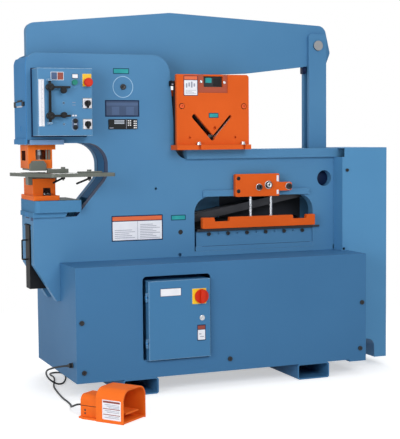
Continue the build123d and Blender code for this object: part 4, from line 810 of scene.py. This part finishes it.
# Main pivot
def build_pivot():
    """Pale ring round the pin, a painted highlight on the edge of the gap round it, and the dark bolt in its middle.
    """
    middle = at(0, -109.4, 1405)
    # The pale ring is a painted highlight on the edge of the gap round the pin.
    turned("pivot_ring", "machine", "blue_paint", RING_BLUE, middle,
           [(0, 46.8), (1.2, 47.4), (1.5, 48.8), (1.2, 50.2), (0, 50.8)], sides=72)
    turned("pivot_bolt", "machine", "dark_steel", DARK_STEEL, middle,
           [(0, 0), (0, 13.5), (5, 13.5), (6, 12.5), (6, 7.5), (2, 7), (2, 0)], sides=30)


build_pivot()


# Angle shear
def build_angle_shear():
    """Label places, screws, a black block of painted shade at its side and blade edge of the shear's cover."""
    face = COVER_FACE
    label("shear_label_place", "machine", "orange_paint", face, [
        (281, 353, 1364, 1459, 2, 0, 0.4, NAVY_PRINT), (284, 350, 1440, 1456, 1, 0.3, 0.3, ORANGE_PRINT),
        (284, 350, 1367, 1437, 1, 0.3, 0.3, WHITE)] +
        [(290, 344 - 10 * (i % 3), 1374 + 5 * i, 1375.5 + 5 * i, 0.2, 0.5, 0.2, GREY_PRINT) for i in range(4)] +
        [(292 + 13 * i, 300 + 13 * i, 1402 + 5 * (i % 2), 1422 + 4 * (i % 3), 2, 0.5, 0.2, GREY_PRINT)
         for i in range(4)])
    teal_tag("teal_tag_shear", "orange_paint", face, 408, 459, 1259, 1283)
    # Darker orange plates on the recess floor: painted shade in the recess.
    label("shear_recess_floor", "machine", "orange_paint", face + 6.0, [
        (354.5, 508.5, 1378.5, 1405.5, 0.5, -0.1, 0.25, ORANGE_DARK),
        (354.5, 384.5, 1406, 1464, 0.5, -0.1, 0.25, ORANGE_DARK),
        (485.5, 508.5, 1406, 1464, 0.5, -0.1, 0.25, ORANGE_DARK)])
    spots("recess_screws", "machine", BRIGHT,
          [(0, 0), (0, 7), (3, 7), (4.5, 5.5), (4.5, 2.5), (3, 2.2), (3, 0)],
          [(372, face + 6.2, 1431, 1.0), (492, face + 6.2, 1428, 1.0)])
    label("window_piece", "machine", "dark_steel", -146.0, [
        (380, 490, 1398, 1464.5, 1, 0, 3.7, DARK_STEEL), (400, 432, 1426, 1450, 3, 3.6, 1.5, TEAL_PRINT),
        (440, 478, 1412, 1448, 2, 3.6, 1.0, BLACK_PLASTIC)])
    # Black block at the upper left of the shear body, with a grey mark: painted shade at the body's side.
    label("cover_side_piece", "machine", "black_plastic", -113.0, [
        (228, 250.5, 1411, 1436, 3, 0, 33, BLACK_PAINT), (230, 238, 1415, 1421, 1, 32.8, 1, GREY_PRINT)])
    # Black rings round the cover's bolt heads: painted shade in the gap between each head and its bore.
    spots("cover_bolt_wells", "machine", BLACK_PAINT,
          [(-0.2, 11.2), (-0.2, 14.3), (0.6, 14.3), (0.6, 11.2), (-0.2, 11.2)],
          [(272, face + 8, 1315, 1.0), (592, face + 8, 1315, 1.0)], sides=36)
    slope = math.radians(48.0)
    along = Vector((math.cos(slope), math.sin(slope)))
    across = Vector((-along.y, along.x))
    base = Vector((427.0, 1163.0)) + along * 14 + across * -5.6
    end, edge = along * 118, across * 1.4
    shape = bmesh.new()
    slab(shape, [tuple(c) for c in (base, base + end, base + end + edge, base + edge)], face + 2, 1.2, 0)
    built("vee_blade_edge", shape, "machine", "tool_steel", STEEL)


build_angle_shear()


# Hold-down
def build_jack_screws():
    """Threaded rods of the hold-down: core and helical ridge, one on each place."""
    points = bpy.data.meshes.new("jack_places")
    points.from_pydata([at(x, -134.6, 780.4) for x in (640.0, 750.0)], [], [])
    data = grown("threaded_jack_screws", points, THREADS, BRIGHT, Length=0.1944, Turns=64.0, Core=0.0073,
                 Ridge=0.00115)
    made = piece("threaded_jack_screws", data, "hold_down", [])
    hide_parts("jack_screws")


def build_hold_down_trim():
    """Bright washers under the clamp bolts and the painted highlights on the block's right corners."""
    ring = [(0, 12.0), (0, 17.0), (2.2, 17.0), (2.6, 16.4), (2.6, 12.0), (0, 12.0)]
    spots("clamp_washers", "machine", BRIGHT, ring,
          [(681, -147.1, 922, 1.0), (842, -147.1, 923, 1.03), (732, -147.1, 932, 1.18)], sides=36)
    turned("clamp_stud", "machine", "bright_steel", BRIGHT, at(732, -147.2, 932),
           [(0, 0), (0, 12.5), (13.5, 12.5), (14.5, 11.5), (14.5, 6), (11, 5.5), (11, 0)], sides=30)
    # Black discs on the block's face: painted shade standing in for the inside of its dowel holes.
    spots("block_dowel_holes", "machine", BLACK_PAINT,
          [(0, 0), (0, 10.0), (0.3, 10.0), (0.35, 9.0), (0.35, 0)],
          [(572, -147.0, 904, 1.0), (572, -147.0, 966, 1.0)])
    label("holder_lines", "machine", "blue_paint", -100.0, [
        (396, 984, 636.6, 639.2, 1, 0, 0.4, NAVY_PRINT), (396, 984, 616.4, 619.4, 1, 0, 0.4, NAVY_PRINT)])
    # White strips on the block's right corners: painted highlights on its edges.
    label("block_corner_marks", "machine", "orange_paint", -147.0, [
        (777, 788, 948, 978, 2, 0, 0.3, WHITE), (777, 788, 886, 907, 2, 0, 0.3, WHITE)])


build_jack_screws()
build_hold_down_trim()


# Enclosure door
def build_door():
    """Label places of the door and the ring round its latch."""
    face = DOOR_FACE
    label("disconnect_plate", "door", "blue_paint", face - 2.0, [(227.7, 296.3, 404.7, 475.3, 2, -1.0, 1.2, YELLOW)])
    label("voltage_place", "door", "blue_paint", face, [
        (72, 174, 447, 484, 1, 0, 0.3, NAVY_PRINT), (74, 172, 449, 482, 1, 0.2, 0.3, WHITE)])
    label("door_notice_place", "door", "blue_paint", face, [
        (251, 293, 233, 307, 2, 0, 0.3, NAVY_PRINT), (254, 290, 286, 303, 1, 0.2, 0.25, BROWN_PRINT),
        (254, 290, 237, 283, 1, 0.2, 0.25, WHITE), (260, 272, 262, 266, 0.3, 0.4, 0.2, GREY_PRINT),
        (264, 284, 250, 253, 0.3, 0.4, 0.2, GREY_PRINT)])
    turned("latch_ring", "door", "bright_steel", BRIGHT, at(276, face - 0.1, 339),
           [(0, 9.5), (0, 13), (1.6, 13), (2.4, 12), (2.4, 9.5)], sides=36)


build_door()


# Head end
def build_head_end():
    """Dark bracket on the curled cover, with a light piece in its middle."""
    shape = bmesh.new()
    for y0, y1, z0, z1, thick, index in ((-92, -60, 1316, 1336, 7, 0), (58, 100, 1312, 1338, 7, 0),
                                         (-56, 50, 1311, 1329, 5, 1), (-48, 46, 1330, 1344, 3, 0)):
        corners = rounded(y0, y1, z0, z1, 3)
        close_rings(shape, [[shape.verts.new(at(-464.4 - thick * part, y * narrow, z)) for y, z in corners]
                            for part, narrow in ((0.0, 1.0), (0.75, 1.0), (1.0, 0.97))], index)
    built("head_bracket", shape, "machine", "black_plastic", BLACK_PAINT, DISPLAY)


build_head_end()


# Foot switch
def hood_side(along, out, up):
    """A place on the hood's left side: along it to the back, and how far it stands out."""
    return pedal_at(out - 83.0, along, up)


def build_hood_label():
    lines = [(16, 100, z, z + high, corner, 0.2, 0.3, BROWN_PRINT)
             for z, high, corner in ((84, 8, 1), (58, 3, 0.5), (34, 3, 0.5))]
    lines += [(20, 92 - 10 * (i % 3), z, z + 2, 0.3, 0.2, 0.3, GREY_PRINT)
              for i, z in enumerate((76, 70, 64, 51, 45, 28, 22))]
    label("hood_label_place", "machine", "orange_paint", 0, [(12, 104, 14, 96, 3, 0, 0.3, WHITE)] + lines,
          hood_side)


def build_switch_seam():
    """Dark seam of the two castings, a thin band round three sides of the rear body."""
    shape = bmesh.new()
    outer, inner = ([[shape.verts.new(pedal_at(a, b, z)) for z in (51.0, 53.4)]
                     for a, b in ((-half, 136.6), (-half, rear), (half, rear), (half, 136.6))]
                    for half, rear in ((55.2, 235.2), (54.6, 234.6)))
    for i in range(3):
        shape.faces.new((outer[i][0], outer[i + 1][0], outer[i + 1][1], outer[i][1]))
        shape.faces.new((inner[i][0], inner[i][1], inner[i + 1][1], inner[i + 1][0]))
        for k in (0, 1):
            shape.faces.new((outer[i][k], outer[i + 1][k], inner[i + 1][k], inner[i][k]))
    for i in (0, 3):
        shape.faces.new((outer[i][0], outer[i][1], inner[i][1], inner[i][0]))
    built("switch_seam", shape, "machine", "orange_paint", BLACK_PAINT)


def build_strain_reliefs():
    """Ribbed strain relief at the foot switch and a stepped one at the base."""
    profile = [(0, 0), (0, 11.5), (3, 11.5)]
    for i in range(6):
        base = 3 + i * 6.0
        radius = 10.5 - i * 0.8
        profile += [(base, radius), (base + 3.6, radius), (base + 3.8, radius - 2.0), (base + 5.8, radius - 2.2)]
    profile += [(40, 5.6), (40, 4.4)]
    turned("switch_strain_relief", "machine", "cord_rubber", RUBBER, pedal_at(0, 235.3, 40), profile,
           axis=PEDAL_BACK)
    turned("base_strain_relief", "machine", "cord_rubber", RUBBER, at(-318.3, -305, 150),
           [(0, 0), (0, 12), (6, 12), (6, 11), (12, 10.4), (12.5, 8.6), (18, 8.0), (18.5, 7.0), (26, 6.2),
            (26, 4.4)], axis=(-1, 0, 0))


def build_treadle_ribs():
    """Tread ribs across the treadle."""
    shape = bmesh.new()
    corners = rounded(-42, 42, 0, 3.0, 1.2, 3)
    close_rings(shape, [[shape.verts.new((PEDAL_RIGHT * a * size + PEDAL_BACK * c) * MM + Vector((0, 0, z * MM)))
                         for a, c in corners] for z, size in ((0.0, 1.0), (1.4, 0.99))])
    data = grown("treadle_ribs", from_bmesh("one_rib", shape), ROWS, CAST_ORANGE, Start=pedal_at(0, 18, 39.8),
                 Columns=7, Column_step=PEDAL_BACK * 12 * MM)
    piece("treadle_ribs", data, "treadle", [])


build_hood_label()
build_switch_seam()
spots("switch_side_screws", "machine", DARK_STEEL,
      [(0, 0), (0, 4.2), (0.8, 4.2), (1.0, 3.6), (0.5, 2.2), (0.5, 0)],
      [(pedal_at(-54.8, b, z), 0, 0, 1.0) for b, z in ((212, 20), (212, 34), (152, 20))],
      axis=-PEDAL_RIGHT, sides=20)
build_strain_reliefs()
build_treadle_ribs()


# Lower arm's end
def build_bin_trim():
    """Dark slot line and the light plate above the slug bin, on the lower arm's end."""
    shape = bmesh.new()
    for face_x, y0, y1, z0, z1, index in ((-439.2, -34, 34, 798.5, 803.5, 0), (-443.1, -30, 30, 806.8, 826, 1)):
        corners = rounded(y0, y1, z0, z1, 1.5, 3)
        close_rings(shape, [[shape.verts.new(at(x, y, z)) for y, z in corners]
                            for x in (face_x + 0.4, face_x - 0.4)], index)
    built("arm_end_marks", shape, "machine", "blue_paint", NAVY_PRINT, BLUE_DEEP)


build_bin_trim()


# Small fittings
def build_fittings():
    """Navy block in the beam beside the link bars, a painted shadow of the bars, and the nuts in the die holder's
    arch.
    """
    # Navy block beside the link bars' left edge: painted shadow in the gap by the bars.
    label("beam_stop_pad", "beam", "black_plastic", 18.0, [(992, 1012, 1484, 1522, 4, 0, 36.0, NAVY_PRINT)])
    spots("die_clamp_nuts", "machine", BRIGHT,
          [(0, 0), (0, 6.4), (7, 6.4), (8, 5.6), (8, 3.4), (11, 3.4), (12, 2.8), (12, 0)],
          [(-374, -70, 906, 1.0), (-357, -70, 906, 1.0)], axis=(0, 0, 1), sides=6)


def build_openings():
    """Plug deep in the access hole, its navy a painted shade of the hole, and the black rubber flap behind the
    shear's exit, which closes the view through it and whose black is painted shade of the frame's inside.
    """
    # Navy plug deep in the access hole: its dark tone is painted shade of the hole.
    turned("access_plug", "machine", "black_plastic", NAVY_PRINT, at(1061, -66, 957),
           [(0, 0), (0, 39.7), (3, 39.7), (4, 38.6), (4, 0)], sides=48)
    # Black flap behind the shear's exit: it closes the view through the exit, and its black is painted shade of the
    # frame's inside.
    label("exit_flap", "machine", "cord_rubber", 113.2, [(346, 1004, 600, 776, 6, 0, 3.0, RUBBER)])


build_fittings()
build_openings()


# Floor and light
def mix_shaders(tree, factor, first, second):
    node = add_node(tree, "ShaderNodeMixShader", Fac=factor)
    tree.links.new(first.outputs[0], node.inputs[1])
    tree.links.new(second.outputs[0], node.inputs[2])
    return node


def seen_rays(tree):
    """1 for rays from the camera and for mirrored or transmitted ones, 0 for light that falls."""
    rays = tree.nodes.new("ShaderNodeLightPath").outputs
    straight = math_node(tree, "MAXIMUM", rays["Is Camera Ray"], rays["Is Glossy Ray"])
    return math_node(tree, "MAXIMUM", straight, rays["Is Transmission Ray"])


def build_floor():
    """Floor that is white where it is seen; the object's shadow stays close to it."""
    shape = bmesh.new()
    bmesh.ops.create_grid(shape, x_segments=1, y_segments=1, size=30.0)
    data = bpy.data.meshes.new("floor")
    shape.to_mesh(data)
    shape.free()
    floor = linked("floor", data)
    floor.location = (0, 0, -0.0005)
    paint = bpy.data.materials.new("pale_floor")
    paint.use_nodes = True
    tree = paint.node_tree
    shader = tree.nodes["Principled BSDF"]
    shader.inputs["Base Color"].default_value = (0.82, 0.82, 0.82, 1)
    shader.inputs["Roughness"].default_value = 0.8
    shader.inputs["Specular IOR Level"].default_value = 0.1
    away = vector_node(tree, "LENGTH", object_place(tree)).outputs["Value"]
    far = math_node(tree, "MULTIPLY", math_node(tree, "SUBTRACT", away, 1.6), 0.9, clamp=True)
    near_glow = add_node(tree, "ShaderNodeEmission", Strength=0.5)
    far_glow = tree.nodes.new("ShaderNodeEmission")
    both = tree.nodes.new("ShaderNodeAddShader")
    tree.links.new(shader.outputs[0], both.inputs[0])
    tree.links.new(near_glow.outputs[0], both.inputs[1])
    choice = mix_shaders(tree, seen_rays(tree), shader, mix_shaders(tree, far, both, far_glow))
    tree.links.new(choice.outputs[0], tree.nodes["Material Output"].inputs["Surface"])
    data.materials.append(paint)


def build_world():
    """White where it is seen, and a weaker light on the object."""
    world = bpy.data.worlds.new("studio")
    bpy.context.scene.world = world
    world.use_nodes = True
    tree = world.node_tree
    tree.nodes.clear()
    seen, ambient = (add_node(tree, "ShaderNodeBackground", Strength=strength, Color=(1, 1, 1, 1))
                     for strength in (1.0, 0.36))
    mixer = mix_shaders(tree, seen_rays(tree), ambient, seen)
    add_node(tree, "ShaderNodeOutputWorld", Surface=mixer.outputs[0])


def lamp(name, where, aim, size, power):
    data = bpy.data.lights.new(name, "AREA")
    data.shape = "RECTANGLE"
    data.size, data.size_y = size
    data.energy = power
    made = linked(name, data)
    made.location = where
    made.rotation_euler = (Vector(aim) - Vector(where)).to_track_quat("-Z", "Y").to_euler()


build_floor()
build_world()
lamp("key_softbox", (0.2, -4.6, 3.0), (0.0, 0.0, 0.9), (2.4, 1.8), 98.0)
lamp("fill_softbox", (-3.9, -2.6, 1.6), (-0.4, 0.0, 0.9), (1.8, 2.4), 84.0)
lamp("top_softbox", (0.2, 0.4, 4.2), (0.1, 0.2, 0.8), (3.0, 2.4), 36.0)
lamp("rear_softbox", (1.0, 4.2, 2.6), (0.0, 0.2, 0.9), (2.4, 1.8), 60.0)

bpy.context.scene.view_settings.view_transform = "Standard"
